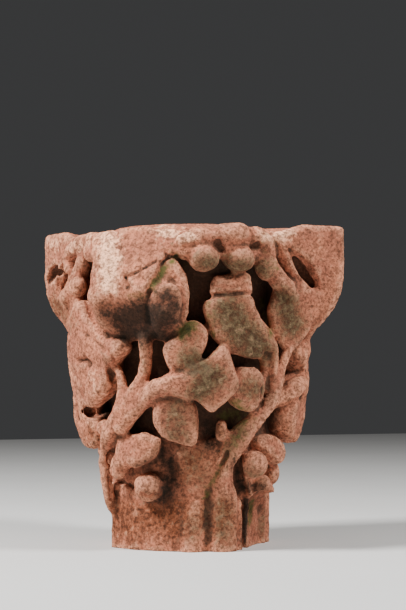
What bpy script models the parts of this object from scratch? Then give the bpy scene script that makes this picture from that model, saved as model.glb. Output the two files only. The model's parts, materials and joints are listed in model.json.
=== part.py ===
"""Carved leaf capital: round foot, leafy bell, square top with four curled corner leaves."""
import math

import bmesh
import bpy
from mathutils import Matrix, Vector

# Driving sizes in metres
HEIGHT = 0.36
FOOT_RADIUS = 0.088
THROAT_RADIUS = 0.094
BELL_TOP_RADIUS = 0.118
TOP_HALF_SIDE = 0.1190
CORNER_REACH = 0.1825
BERRY_RADIUS = 0.0168
STEM_RADIUS = 0.0066
TRUNK_RADIUS = 0.0175
LEAF_RISE = 0.0130
LEAF_BACK = 0.0180
WEAR = 0.0030
CARVING_STEP = 0.0024
FACE_LIMIT = 9600

# Lengths in the tables are in modules: one hundredth of the height
MODULE = HEIGHT / 100.0
BERRY = BERRY_RADIUS / MODULE
STEM = STEM_RADIUS / MODULE
TRUNK = TRUNK_RADIUS / MODULE
RISE = LEAF_RISE / MODULE
BACK = LEAF_BACK / MODULE
REACH = CORNER_REACH / MODULE
TOP = TOP_HALF_SIDE / MODULE
EDGE = WEAR / MODULE

STONE_COLOUR = (0.52, 0.27, 0.19, 1.0)


def directions(bearing):
    """Outward and rightward unit vectors at a bearing counted from the front toward the right."""
    turn = math.radians(bearing)
    outward = Vector((math.sin(turn), -math.cos(turn), 0.0))
    rightward = Vector((math.cos(turn), math.sin(turn), 0.0))
    return outward, rightward


def spot(bearing, out, up, side=0.0):
    """Point at a bearing, a distance out from the axis, a height and a step to the right."""
    outward, rightward = directions(bearing)
    return (outward * out + rightward * side + Vector((0.0, 0.0, up))) * MODULE


class Carver:
    """Gathers closed shapes of one block, and the shapes cut out of it."""

    def __init__(self):
        self.solid = bmesh.new()
        self.hollow = bmesh.new()

    def add(self, piece, cut=False):
        """Move the faces of a small mesh into the block or into the cutters."""
        mesh = bpy.data.meshes.new("piece")
        piece.to_mesh(mesh)
        piece.free()
        (self.hollow if cut else self.solid).from_mesh(mesh)
        bpy.data.meshes.remove(mesh)

    def leaf(self, bearing, out, up, wide, tall, side=0.0, rise=1.0, back=1.0,
             lean=0.0, yaw=0.0, roll=0.0, tips=(), flat=0.75, cut=False):
        """Bulging lobe: an oval drawn out at its tips, domed outward and rooted inward.

        The rise and the root are given against the usual ones.
        """
        piece = bmesh.new()
        bmesh.ops.create_uvsphere(piece, u_segments=36, v_segments=18, radius=1.0)
        outward, rightward = directions(bearing)
        upward = Vector((0.0, 0.0, 1.0))
        swing = Matrix.Rotation(math.radians(yaw), 3, upward)
        outward, rightward = swing @ outward, swing @ rightward
        tilt = Matrix.Rotation(math.radians(lean), 3, rightward)
        outward, upward = tilt @ outward, tilt @ upward
        spin = Matrix.Rotation(math.radians(roll), 3, outward)
        rightward, upward = spin @ rightward, spin @ upward
        centre = spot(bearing, out, up, side)
        for vert in piece.verts:
            level = max(-1.0, min(1.0, vert.co.z))
            angle = math.atan2(vert.co.y, vert.co.x)
            reach = 1.0
            for heading, gain, spread in tips:
                gap = math.degrees(angle) - heading
                gap = (gap + 180.0) % 360.0 - 180.0
                reach += gain * math.exp(-(gap / spread) ** 2)
            ring = math.sqrt(max(0.0, 1.0 - level * level)) ** flat
            across = wide * reach * ring * math.cos(angle)
            along = tall * reach * ring * math.sin(angle)
            if level >= 0.0:
                height = RISE * rise * level ** flat
            else:
                height = -BACK * back * (-level) ** flat
            vert.co = centre + (rightward * across + upward * along + outward * height) * MODULE
        self.add(piece, cut)

    def berry(self, bearing, out, up, size=1.0, tall=1.0, side=0.0, cut=False):
        """Round berry, sized against the usual one."""
        radius = BERRY * size * MODULE
        piece = bmesh.new()
        bmesh.ops.create_icosphere(piece, subdivisions=3, radius=radius)
        bmesh.ops.scale(piece, vec=(1.0, 1.0, tall), verts=piece.verts)
        bmesh.ops.translate(piece, vec=spot(bearing, out, up, side), verts=piece.verts)
        self.add(piece, cut)

    def mass(self, points, cut=False):
        """Rounded lump that wraps balls given as bearing, out, up, radius and side step."""
        piece = bmesh.new()
        for bearing, out, up, radius, side in points:
            place = Matrix.Translation(spot(bearing, out, up, side))
            bmesh.ops.create_icosphere(piece, subdivisions=2, radius=radius * MODULE, matrix=place)
        wrap = bmesh.ops.convex_hull(piece, input=piece.verts)
        inner = [item for item in wrap["geom_interior"] if isinstance(item, bmesh.types.BMVert)]
        bmesh.ops.delete(piece, geom=inner, context="VERTS")
        bmesh.ops.recalc_face_normals(piece, faces=piece.faces)
        self.add(piece, cut)

    def stem(self, points, cut=False):
        """Round stem along points given as bearing, out, up and radius."""
        line = bpy.data.curves.new("stem", "CURVE")
        line.dimensions = "3D"
        line.bevel_depth = MODULE
        line.bevel_resolution = 3
        line.resolution_u = 6
        line.use_fill_caps = True
        spline = line.splines.new("BEZIER")
        spline.bezier_points.add(len(points) - 1)
        for knot, (bearing, out, up, radius) in zip(spline.bezier_points, points):
            knot.co = spot(bearing, out, up)
            knot.radius = radius
            knot.handle_left_type = "AUTO"
            knot.handle_right_type = "AUTO"
        holder = bpy.data.objects.new("stem", line)
        bpy.context.scene.collection.objects.link(holder)
        graph = bpy.context.evaluated_depsgraph_get()
        mesh = bpy.data.meshes.new_from_object(holder.evaluated_get(graph))
        piece = bmesh.new()
        piece.from_mesh(mesh)
        bmesh.ops.remove_doubles(piece, verts=piece.verts, dist=0.0001)
        bpy.data.objects.remove(holder)
        bpy.data.curves.remove(line)
        bpy.data.meshes.remove(mesh)
        self.add(piece, cut)

    def turned(self, profile):
        """Solid turned about the axis from heights and radii, listed from the top down."""
        mesh = bpy.data.meshes.new("profile")
        points = [(radius * MODULE, 0.0, up * MODULE) for up, radius in profile]
        mesh.from_pydata(points, [(k, k + 1) for k in range(len(points) - 1)], [])
        holder = bpy.data.objects.new("profile", mesh)
        bpy.context.scene.collection.objects.link(holder)
        lathe = holder.modifiers.new("lathe", "SCREW")
        lathe.axis = "Z"
        lathe.steps = 64
        lathe.render_steps = 64
        lathe.use_merge_vertices = True
        lathe.merge_threshold = 0.0001
        bake(holder)
        piece = bmesh.new()
        piece.from_mesh(holder.data)
        mesh = holder.data
        bpy.data.objects.remove(holder)
        bpy.data.meshes.remove(mesh)
        self.add(piece)


def carve_core(block):
    """Bell behind the leaves, and the square top."""
    foot = FOOT_RADIUS / MODULE
    throat = THROAT_RADIUS / MODULE
    rim = BELL_TOP_RADIUS / MODULE
    block.turned([(103.0, 0.0), (103.0, rim - 14.0), (100.5, rim - 11.0), (98.0, rim - 5.0),
                  (94.0, rim - 1.0), (86.0, rim - 1.5), (70.0, throat + 3.0),
                  (52.0, throat + 1.0), (36.0, throat - 0.5), (18.0, foot), (-3.0, foot),
                  (-3.0, 0.0)])
    ball = EDGE + 0.8
    reaches = ((45.0, TOP * math.sqrt(2.0) - ball), (135.0, TOP * math.sqrt(2.0) - ball),
               (225.0, TOP * math.sqrt(2.0) - ball), (315.0, TOP * 1.02))
    corners = [(bearing, out, 93.0, ball, 0.0) for bearing, out in reaches]
    corners += [(bearing, out - 3.0, 98.8, ball, 0.0) for bearing, out in reaches[:3]]
    corners += [(315.0, TOP, 96.4, ball, 0.0)]
    corners += [(bearing, TOP - ball, 95.6, ball, 0.0) for bearing in (0.0, 90.0, 180.0, 270.0)]
    block.mass(corners + [(90.0 * k, rim - 5.0, 88.0, 2.0, 0.0) for k in range(4)])


def carve_corner(block, bearing):
    """Curled corner leaf: a fin to the corner, a lobe on each side and the rolled tip."""
    tip = REACH - 1.6
    fin = [(tip, 98.6, 1.5, 0.0), (tip, 86.5, 1.6, 0.0), (tip - 1.2, 80.5, 2.2, 0.0),
           (tip - 4.2, 76.0, 3.0, 0.0), (40.0, 71.5, 3.6, 0.0), (40.0, 98.6, 1.5, 8.0),
           (40.0, 98.6, 1.5, -8.0), (33.0, 96.0, 1.5, 15.0), (33.0, 96.0, 1.5, -15.0),
           (37.5, 88.0, 1.8, 9.5), (37.5, 88.0, 1.8, -9.5), (30.0, 72.0, 4.0, 0.0)]
    block.mass([(bearing, out, up, ball, side) for out, up, ball, side in fin])
    for hand in (-1.0, 1.0):
        block.leaf(bearing, 36.8, 76.2, 8.0, 12.8, side=9.2 * hand, rise=1.05, lean=7.0,
                   yaw=42.0 * hand, roll=-4.0 * hand, back=1.4,
                   tips=((-90.0, 0.10, 30.0), (-90.0 + 60.0 * hand, 0.1, 30.0)))
        carve_chain(block, bearing, [(29.0, 92.0, 2.4, 18.4 * hand), (32.6, 85.5, 2.8, 15.2 * hand),
                                     (35.2, 79.5, 3.2, 12.0 * hand)])
        carve_chain(block, bearing, [(37.6, 92.0, 1.2, 12.8 * hand), (41.0, 86.4, 2.8, 10.0 * hand),
                                     (43.6, 80.2, 1.5, 7.0 * hand)], cut=True)
    block.mass([(bearing, 40.0, 73.0, 4.5, 0.0), (bearing, 36.0, 67.5, 3.5, 0.0),
                (bearing, 35.0, 73.0, 4.5, 8.0), (bearing, 35.0, 73.0, 4.5, -8.0)])


def carve_chain(block, bearing, links, cut=False):
    """Lumps that join each ball of a row to the next, given as out, up, radius and side step."""
    for pair in zip(links, links[1:]):
        block.mass([(bearing, out, up, ball, side) for out, up, ball, side in pair], cut)


def carve_broken_corner(block, bearing):
    """Near corner leaf, its point broken off in a flat slanting face."""
    body = [(35.0, 95.4, 2.0, -9.0), (34.4, 95.2, 2.0, 0.5), (37.4, 88.0, 2.0, 5.5),
            (41.2, 78.6, 2.0, -0.6), (39.6, 84.0, 2.0, -7.0), (31.8, 70.0, 3.6, -9.5),
            (32.6, 68.8, 3.6, -2.4), (31.8, 67.6, 3.4, 4.6), (36.6, 75.8, 3.0, -8.0),
            (38.0, 75.4, 3.0, 0.0), (29.0, 95.4, 2.0, -15.0), (29.0, 95.4, 2.0, 10.0),
            (27.0, 68.0, 4.0, 0.0)]
    block.mass([(bearing, out, up, ball, side) for out, up, ball, side in body])
    carve_chain(block, bearing, [(33.6, 94.6, 3.2, -13.0), (36.6, 88.0, 3.6, -13.2),
                                 (38.2, 82.0, 4.0, -13.0), (37.6, 77.0, 4.0, -12.8),
                                 (34.6, 71.5, 3.4, -11.5)])
    block.leaf(bearing, 34.8, 76.6, 5.4, 9.8, side=-15.4, rise=1.16, yaw=-28.0, lean=16.0)
    block.leaf(bearing, 35.8, 76.0, 5.6, 12.8, side=8.4, rise=1.0, lean=16.0, yaw=14.0)
    block.leaf(bearing, 37.0, 72.4, 4.6, 9.6, side=6.2, rise=1.27, lean=22.0, yaw=8.0)
    carve_chain(block, bearing, [(40.6, 89.5, 1.0, 9.0), (41.8, 85.0, 1.9, 5.6),
                                 (43.0, 80.4, 1.8, 2.4), (42.6, 76.5, 1.2, 1.0),
                                 (40.4, 71.0, 1.0, 1.0)], cut=True)
    carve_chain(block, bearing, [(42.0, 82.4, 0.8, 3.4), (42.4, 83.4, 1.0, 6.0),
                                 (41.6, 81.4, 1.1, 9.4), (39.8, 75.5, 1.1, 11.0),
                                 (36.8, 68.5, 1.0, 9.6)], cut=True)
    carve_chain(block, bearing, [(41.0, 92.0, 0.8, -10.4), (42.6, 84.0, 0.9, -9.4),
                                 (42.8, 78.0, 0.9, -8.0), (40.6, 72.5, 0.9, -6.0)], cut=True)


def carve_face(block, turn):
    """Middle of one face: a knobbed twig over three berries."""
    block.stem([(turn - 30.0, 33.0, 94.0, 2.6), (turn - 21.0, 33.4, 95.2, 3.4),
                (turn - 10.0, 33.8, 95.2, 3.2), (turn - 3.0, 34.0, 95.8, 3.5),
                (turn + 3.0, 34.0, 95.0, 3.0)])
    block.stem([(turn + 2.0, 33.0, 95.5, 2.8), (turn + 8.0, 33.8, 95.4, 3.2),
                (turn + 13.5, 34.4, 92.0, 2.8), (turn + 16.5, 34.4, 88.5, 2.4)])
    block.mass([(turn - 26.0, 34.0, 90.0, 3.0, 0.0), (turn + 12.0, 32.6, 90.0, 3.0, 0.0),
                (turn - 3.0, 31.6, 90.0, 3.4, 0.0)])
    block.berry(turn - 19.5, 34.6, 88.0, size=1.04)
    block.berry(turn - 2.8, 34.6, 87.2, size=1.02)
    block.berry(turn + 12.4, 35.0, 86.4, size=0.86, tall=1.25)
    for angle, up in ((-13.0, 91.9), (4.5, 91.6)):
        block.berry(turn + angle, 39.4, up, size=0.42, cut=True)


def carve_hanging_leaf(block, turn):
    """Leaf hung below the berries: neck, blade, curled right margin and lower lobe."""
    block.leaf(turn - 7.0, 31.6, 79.8, 5.8, 3.6, rise=0.83, lean=0.0, flat=0.6)
    block.leaf(turn - 7.5, 33.4, 69.4, 8.2, 9.6, rise=0.94, lean=-8.0, roll=8.0, flat=0.6,
               tips=((132.0, 0.34, 18.0), (58.0, 0.14, 18.0), (200.0, -0.08, 25.0)))
    block.leaf(turn + 6.5, 32.6, 63.0, 5.6, 6.0, rise=1.0, lean=0.0)
    block.stem([(turn + 1.5, 32.8, 77.0, 2.2), (turn + 9.5, 35.0, 67.5, 2.6),
                (turn + 15.5, 35.8, 61.0, 2.5), (turn + 15.4, 34.8, 53.5, 2.2),
                (turn + 11.6, 33.0, 46.5, 1.9)])
    block.mass([(turn + 4.0, 30.0, 72.0, 3.5, 0.0), (turn + 10.0, 31.5, 58.0, 3.5, 0.0),
                (turn + 2.0, 30.0, 50.0, 3.5, 0.0)])
    block.leaf(turn + 1.5, 32.6, 49.8, 5.8, 6.8, rise=1.22, lean=8.0)
    block.stem([(turn - 6.0, 37.0, 68.0, 0.7), (turn + 3.0, 38.2, 66.0, 0.9),
                (turn + 9.5, 37.8, 61.0, 0.9), (turn + 11.0, 37.0, 54.0, 0.9),
                (turn + 9.5, 35.6, 47.0, 0.8)], cut=True)
    block.mass([(turn - 3.5, 37.0, 58.0, 1.3, 0.0), (turn + 5.5, 36.5, 56.6, 0.8, 0.0),
                (turn - 1.0, 31.0, 57.4, 1.2, 0.0)], cut=True)


def carve_branch_leaf(block, turn):
    """Leaf of three lobes on the branch of the stem to its left."""
    block.leaf(turn - 27.2, 34.0, 62.2, 6.8, 8.2, rise=1.16, yaw=8.0, lean=2.0,
               tips=((50.0, 0.14, 20.0),))
    block.leaf(turn - 18.0, 34.6, 52.8, 8.6, 8.6, rise=1.22, yaw=-2.0, lean=8.0,
               tips=((64.0, 0.34, 13.0), (-14.0, 0.12, 14.0), (-78.0, 0.20, 14.0),
                     (205.0, -0.15, 25.0)))
    block.leaf(turn - 32.2, 31.4, 40.4, 7.1, 7.3, rise=1.16, lean=10.0, yaw=2.0,
               tips=((-54.0, 0.36, 14.0),))
    block.mass([(turn - 30.0, 30.0, 51.0, 4.0, 0.0), (turn - 22.0, 30.0, 61.0, 4.0, 0.0),
                (turn - 26.0, 28.0, 46.0, 3.4, 0.0)])
    block.stem([(turn - 31.0, 38.4, 57.0, 0.6), (turn - 24.0, 39.0, 57.4, 0.9),
                (turn - 18.0, 39.4, 60.0, 0.8)], cut=True)


def carve_stems(block, turn):
    """Trunk at the foot that rises to the right, up to the corner leaf."""
    block.mass([(turn - 3.0, 23.5, -3.0, TRUNK, 0.0), (turn - 3.0, 23.5, 14.0, TRUNK, 0.0),
                (turn - 4.0, 24.5, 24.0, TRUNK - 1.0, 0.0)])
    block.mass([(turn - 4.0, 24.5, 24.0, TRUNK - 1.0, 0.0), (turn + 3.0, 27.0, 34.0, 3.8, 0.0)])
    block.stem([(turn + 0.0, 26.0, 30.0, 3.8), (turn + 4.5, 28.8, 34.5, 3.6),
                (turn + 12.5, 31.8, 42.0, 2.8), (turn + 20.0, 34.2, 47.5, 2.4),
                (turn + 25.8, 35.8, 53.6, STEM + 0.2), (turn + 30.0, 36.6, 58.8, STEM + 0.1),
                (turn + 36.5, 37.4, 64.4, STEM + 0.3), (turn + 41.0, 37.8, 70.0, STEM + 1.2)])


def carve_branch(block, turn):
    """Branch that runs right into the leaf: from the fork of the near stem, or out of the bell."""
    if turn == 0.0:
        root = [(-63.0, 30.0, 42.0, 3.0), (-56.0, 31.6, 46.2, 2.9), (-47.0, 33.4, 49.6, 3.0)]
    else:
        root = [(turn - 46.0, 26.0, 42.0, 2.4), (turn - 41.0, 31.0, 47.4, 2.8)]
    block.stem(root + [(turn - 35.0, 35.0, 50.6, 3.3), (turn - 27.0, 34.6, 51.2, 3.6)])


def carve_low_berries(block, turn):
    """Berries under the stems, near the foot."""
    block.berry(turn + 14.5, 30.2, 25.6, size=1.0)
    block.leaf(turn + 28.0, 28.4, 31.2, 6.4, 4.4, rise=1.0, roll=-20.0, lean=-10.0)
    block.berry(turn + 32.0, 28.0, 25.4, size=0.66)
    block.berry(turn + 27.0, 27.0, 19.6, size=0.74)
    block.mass([(turn + 8.0, 27.0, 32.0, 3.4, 0.0), (turn + 25.0, 26.0, 33.0, 3.0, 0.0),
                (turn + 22.0, 24.0, 23.0, 4.0, 0.0)])


def carve_near_left(block):
    """Stem, leaf and berries left of the near corner, which differ from the others."""
    block.stem([(-100.0, 23.0, -3.0, 2.6), (-99.0, 23.2, 9.0, 2.6), (-96.0, 24.6, 20.0, 2.8),
                (-90.0, 26.4, 30.0, 3.2),
                (-78.0, 28.2, 36.0, 3.6), (-68.0, 29.6, 39.5, 3.4), (-59.0, 31.2, 45.5, 2.6),
                (-53.5, 32.2, 50.0, 2.3), (-49.0, 33.8, 57.0, STEM),
                (-46.5, 34.4, 62.0, STEM + 0.3), (-45.0, 33.4, 68.0, STEM + 1.0)])
    carve_branch(block, 0.0)
    block.stem([(-66.0, 30.0, 42.0, 2.0), (-62.5, 32.5, 49.0, 1.9), (-64.0, 34.5, 55.5, 2.0),
                (-68.0, 35.0, 58.5, 2.4)])
    block.leaf(-86.0, 35.4, 66.0, 8.6, 11.0, rise=1.05, lean=6.0, yaw=-4.0,
               tips=((100.0, 0.24, 18.0), (20.0, -0.12, 30.0)))
    block.leaf(-66.5, 35.4, 60.5, 6.2, 4.6, rise=1.0, yaw=6.0, lean=4.0, tips=((0.0, 0.2, 25.0),))
    block.leaf(-79.5, 33.8, 50.6, 6.0, 7.4, rise=1.05, lean=10.0, yaw=6.0)
    block.leaf(-104.0, 34.6, 52.0, 5.8, 9.4, rise=1.0, lean=10.0, yaw=-6.0,
               tips=((-90.0, 0.25, 20.0),))
    block.leaf(-113.0, 29.6, 37.0, 6.4, 7.0, rise=1.05, lean=12.0, tips=((-70.0, 0.2, 20.0),))
    block.stem([(-86.0, 39.4, 66.0, 0.6), (-77.0, 39.6, 62.0, 0.8), (-69.0, 39.4, 57.5, 0.6)],
               cut=True)
    block.stem([(-92.0, 38.4, 58.0, 0.9), (-94.0, 38.0, 53.0, 0.8), (-96.0, 37.0, 47.0, 0.8)],
               cut=True)
    block.mass([(-84.0, 30.0, 54.0, 4.5, 0.0), (-84.0, 31.0, 68.0, 4.5, 0.0),
                (-100.0, 29.0, 54.0, 4.0, 0.0)])
    block.stem([(-72.0, 28.4, 33.0, 3.0), (-60.0, 28.8, 33.4, 3.2), (-50.0, 28.2, 33.8, 2.4)])
    block.leaf(-58.0, 29.0, 30.4, 5.4, 5.6, rise=0.94, back=1.2)
    block.berry(-74.0, 27.8, 25.2, size=0.9, tall=1.15)
    block.berry(-51.0, 27.4, 19.8, size=0.96)


def carve_left_face(block):
    """Lumps at the top of the left face, seen beside the near corner leaf."""
    block.mass([(-68.0, 33.0, 95.0, 3.4, 0.0), (-90.0, 33.0, 95.0, 3.4, 0.0),
                (-102.0, 34.0, 93.0, 3.2, 0.0), (-80.0, 33.0, 90.0, 3.4, 0.0)])
    block.leaf(-79.0, 34.5, 88.5, 4.6, 3.6, rise=1.0, lean=4.0)
    block.leaf(-102.0, 35.5, 86.5, 3.4, 5.2, rise=1.0, lean=4.0)
    block.berry(-88.0, 35.4, 81.0, size=0.82)
    block.stem([(-107.0, 20.5, 20.0, 2.6), (-112.0, 26.4, 34.0, 2.8), (-119.0, 30.0, 47.0, 2.5),
                (-126.0, 33.4, 59.0, 2.5), (-131.0, 35.4, 68.0, 3.0)])
    block.leaf(-124.0, 29.0, 42.0, 4.6, 6.6, rise=0.9, lean=8.0, tips=((-90.0, 0.3, 20.0),))
    block.leaf(-117.0, 32.6, 69.0, 5.6, 8.6, rise=0.9, lean=4.0, tips=((100.0, 0.2, 20.0),))


def carve_front_foot(block):
    """Ridge and swelling of the foot between the two trunks in front."""
    block.mass([(-25.0, 23.6, -3.0, 2.8, 0.0), (-25.0, 23.6, 11.5, 2.8, 0.0),
                (-21.0, 22.0, 13.0, 3.0, 0.0)])
    block.mass([(-21.0, 23.2, 17.0, 3.6, 0.0), (-20.0, 24.4, 30.0, 4.4, 0.0),
                (-12.0, 24.6, 24.0, 3.6, 0.0)])
    block.mass([(32.0, 27.5, -5.0, 6.0, 0.0), (32.0, 27.5, 9.0, 6.0, 0.0),
                (58.0, 27.5, -5.0, 6.0, 0.0), (58.0, 27.5, 9.0, 6.0, 0.0)], cut=True)
    block.mass([(19.0, 25.6, -5.0, 1.8, 0.0), (19.0, 25.6, 14.0, 2.3, 0.0),
                (22.0, 21.0, -5.0, 1.5, 0.0), (22.0, 21.0, 12.0, 1.7, 0.0)], cut=True)
    block.stem([(-13.0, 27.0, -2.0, 1.0), (-13.0, 27.4, 12.0, 1.0), (-9.0, 28.0, 20.0, 1.1),
                (-6.0, 28.6, 27.0, 1.0)], cut=True)


def carve_all():
    """Every shape of the block."""
    block = Carver()
    carve_core(block)
    carve_broken_corner(block, -45.0)
    for bearing in (45.0, 135.0, 225.0):
        carve_corner(block, bearing)
    for turn in (0.0, 90.0, 180.0):
        carve_face(block, turn)
        carve_stems(block, turn)
        carve_low_berries(block, turn)
        carve_hanging_leaf(block, turn)
        carve_branch_leaf(block, turn)
        if turn > 0.0:
            carve_branch(block, turn)
    carve_near_left(block)
    carve_left_face(block)
    carve_front_foot(block)
    return block


def object_from(shape, name, collection):
    """Object made of a gathered mesh."""
    mesh = bpy.data.meshes.new(name)
    shape.to_mesh(mesh)
    shape.free()
    thing = bpy.data.objects.new(name, mesh)
    collection.objects.link(thing)
    return thing


def bake(thing):
    """Replace an object's mesh with its evaluated shape and drop the modifiers."""
    graph = bpy.context.evaluated_depsgraph_get()
    mesh = bpy.data.meshes.new_from_object(thing.evaluated_get(graph))
    old = thing.data
    thing.modifiers.clear()
    thing.data = mesh
    bpy.data.meshes.remove(old)
    mesh.name = thing.name


def remesh(thing, step):
    """Fuse everything in an object into one skin."""
    skin = thing.modifiers.new("one skin", "REMESH")
    skin.mode = "VOXEL"
    skin.voxel_size = step
    bake(thing)


def keep_largest(thing):
    """Drop loose crumbs, keeping the largest connected skin."""
    skin = bmesh.new()
    skin.from_mesh(thing.data)
    skin.verts.ensure_lookup_table()
    seen = set()
    groups = []
    for start in skin.verts:
        if start.index in seen:
            continue
        seen.add(start.index)
        group = [start]
        for vert in group:
            for edge in vert.link_edges:
                other = edge.other_vert(vert)
                if other.index not in seen:
                    seen.add(other.index)
                    group.append(other)
        groups.append(group)
    groups.sort(key=len)
    for group in groups[:-1]:
        bmesh.ops.delete(skin, geom=group, context="VERTS")
    skin.to_mesh(thing.data)
    skin.free()


def boolean(thing, other, operation):
    """Combine two closed objects exactly."""
    step = thing.modifiers.new("boolean", "BOOLEAN")
    step.operation = operation
    step.solver = "EXACT"
    step.object = other
    bake(thing)


def main():
    for thing in list(bpy.data.objects):
        bpy.data.objects.remove(thing)
    parts = bpy.data.collections.new("leaf capital")
    tools = bpy.data.collections.new("cutters")
    for collection in (parts, tools):
        bpy.context.scene.collection.children.link(collection)

    block = carve_all()
    capital = object_from(block.solid, "capital", parts)
    hollows = object_from(block.hollow, "hollows", tools)
    remesh(capital, CARVING_STEP)
    remesh(hollows, CARVING_STEP * 0.5)
    boolean(capital, hollows, "DIFFERENCE")
    remesh(capital, CARVING_STEP)
    soften = capital.modifiers.new("wear", "SMOOTH")
    soften.factor = 0.5
    soften.iterations = 2
    bake(capital)
    keep_largest(capital)
    thin = capital.modifiers.new("fewer faces", "DECIMATE")
    thin.ratio = min(1.0, FACE_LIMIT / sum(len(face.vertices) - 2 for face in capital.data.polygons))
    bake(capital)

    bpy.ops.mesh.primitive_cube_add(size=1.0, location=(0.0, 0.0, HEIGHT / 2.0))
    slab = bpy.context.active_object
    slab.name = "beds"
    slab.data.transform(Matrix.Diagonal((0.6, 0.6, HEIGHT, 1.0)))
    for collection in list(slab.users_collection):
        collection.objects.unlink(slab)
    tools.objects.link(slab)
    boolean(capital, slab, "INTERSECT")
    for tool in (hollows, slab):
        tool.hide_render = True
        tool.display_type = "WIRE"

    stone = bpy.data.materials.new("sandstone")
    stone.use_nodes = True
    shader = stone.node_tree.nodes["Principled BSDF"]
    shader.inputs["Base Color"].default_value = STONE_COLOUR
    shader.inputs["Roughness"].default_value = 0.95
    capital.data.materials.clear()
    capital.data.materials.append(stone)
    capital.data.shade_smooth()
    capital.data.set_sharp_from_angle(angle=math.radians(50.0))


if __name__ == "__main__":
    main()
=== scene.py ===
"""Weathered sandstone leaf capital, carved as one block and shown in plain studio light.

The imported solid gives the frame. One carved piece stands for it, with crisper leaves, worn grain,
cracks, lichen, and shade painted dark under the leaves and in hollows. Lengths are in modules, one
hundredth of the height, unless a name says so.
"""
import json
import logging
import math
from collections.abc import Callable, Iterable, Iterator
from contextlib import contextmanager
from dataclasses import dataclass, fields
from enum import Enum

import bmesh
import bpy
import numpy as np
from mathutils import Matrix, Vector, noise

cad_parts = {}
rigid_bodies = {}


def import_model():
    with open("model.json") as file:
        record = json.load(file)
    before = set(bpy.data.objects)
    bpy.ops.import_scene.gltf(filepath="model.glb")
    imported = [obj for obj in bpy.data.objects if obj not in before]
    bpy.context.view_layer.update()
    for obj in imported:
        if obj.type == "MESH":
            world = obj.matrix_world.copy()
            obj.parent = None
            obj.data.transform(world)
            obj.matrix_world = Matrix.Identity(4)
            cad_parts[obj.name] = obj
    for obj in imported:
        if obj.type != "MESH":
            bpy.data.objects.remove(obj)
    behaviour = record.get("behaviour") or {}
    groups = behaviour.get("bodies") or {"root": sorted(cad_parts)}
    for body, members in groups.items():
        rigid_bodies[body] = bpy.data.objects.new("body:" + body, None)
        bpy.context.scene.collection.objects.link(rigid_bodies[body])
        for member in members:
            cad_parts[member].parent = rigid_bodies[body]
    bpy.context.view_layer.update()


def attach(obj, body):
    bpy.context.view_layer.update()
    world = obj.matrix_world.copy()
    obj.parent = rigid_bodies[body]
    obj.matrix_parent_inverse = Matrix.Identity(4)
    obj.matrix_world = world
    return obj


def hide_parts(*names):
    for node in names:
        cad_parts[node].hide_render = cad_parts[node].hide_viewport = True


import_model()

LOG = logging.getLogger("capital")

HEIGHT = 0.36
MODULE = HEIGHT / 100.0
MILLIMETRE = 0.001
FRONT_FACES = (0.0, 90.0, 180.0)
Point = tuple[float, ...]
Line = tuple[Point, ...]
Ball = tuple[Vector, float]


class Cut(Enum):
    """Whether a shape is left standing or taken out of the block."""

    STAND = "stand"
    HOLLOW = "hollow"


def outward_of(bearing: float) -> Vector:
    """Return the outward direction at a bearing in degrees, from the front toward the right."""
    turn = math.radians(bearing)
    return Vector((math.sin(turn), -math.cos(turn), 0.0))


def rightward_of(bearing: float) -> Vector:
    """Return the direction to the right of somebody facing the stone at a bearing."""
    turn = math.radians(bearing)
    return Vector((math.cos(turn), math.sin(turn), 0.0))


def place(bearing: float, out: float, up: float, side: float = 0.0) -> Vector:
    """Give a place on the stone.

    Args:
        bearing: Degrees from the front toward the right.
        out: Distance from the axis.
        up: Height above the underside.
        side: Step to the right, square to the bearing.

    Returns:
        The place in metres.
    """
    return (outward_of(bearing) * out + rightward_of(bearing) * side
            + Vector((0.0, 0.0, up))) * MODULE


def clear_selection() -> None:
    """Leave edit mode and deselect everything."""
    if bpy.context.object is not None and bpy.context.object.mode != "OBJECT":
        bpy.ops.object.mode_set(mode="OBJECT")
    bpy.ops.object.select_all(action="DESELECT")


def hold(thing: bpy.types.Object) -> None:
    """Select one object alone and make it active.

    Args:
        thing: The object.
    """
    clear_selection()
    thing.select_set(True)
    bpy.context.view_layer.objects.active = thing


@contextmanager
def editing(thing: bpy.types.Object) -> Iterator[None]:
    """Keep an object in edit mode, all of its mesh selected, while the block runs.

    Args:
        thing: The object.

    Yields:
        Nothing.
    """
    hold(thing)
    bpy.ops.object.mode_set(mode="EDIT")
    bpy.ops.mesh.select_all(action="SELECT")
    yield
    bpy.ops.object.mode_set(mode="OBJECT")


def link_mesh(name: str, mesh: bpy.types.Mesh) -> bpy.types.Object:
    """Put a mesh in the scene.

    Args:
        name: The object's name.
        mesh: The mesh.

    Returns:
        The new object.
    """
    thing = bpy.data.objects.new(name, mesh)
    bpy.context.scene.collection.objects.link(thing)
    return thing


def take_mesh(thing: bpy.types.Object) -> bpy.types.Mesh:
    """Take the mesh out of an object, which is removed.

    Args:
        thing: The object.

    Returns:
        Its mesh.
    """
    mesh = thing.data
    bpy.data.objects.remove(thing)
    return mesh


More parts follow.
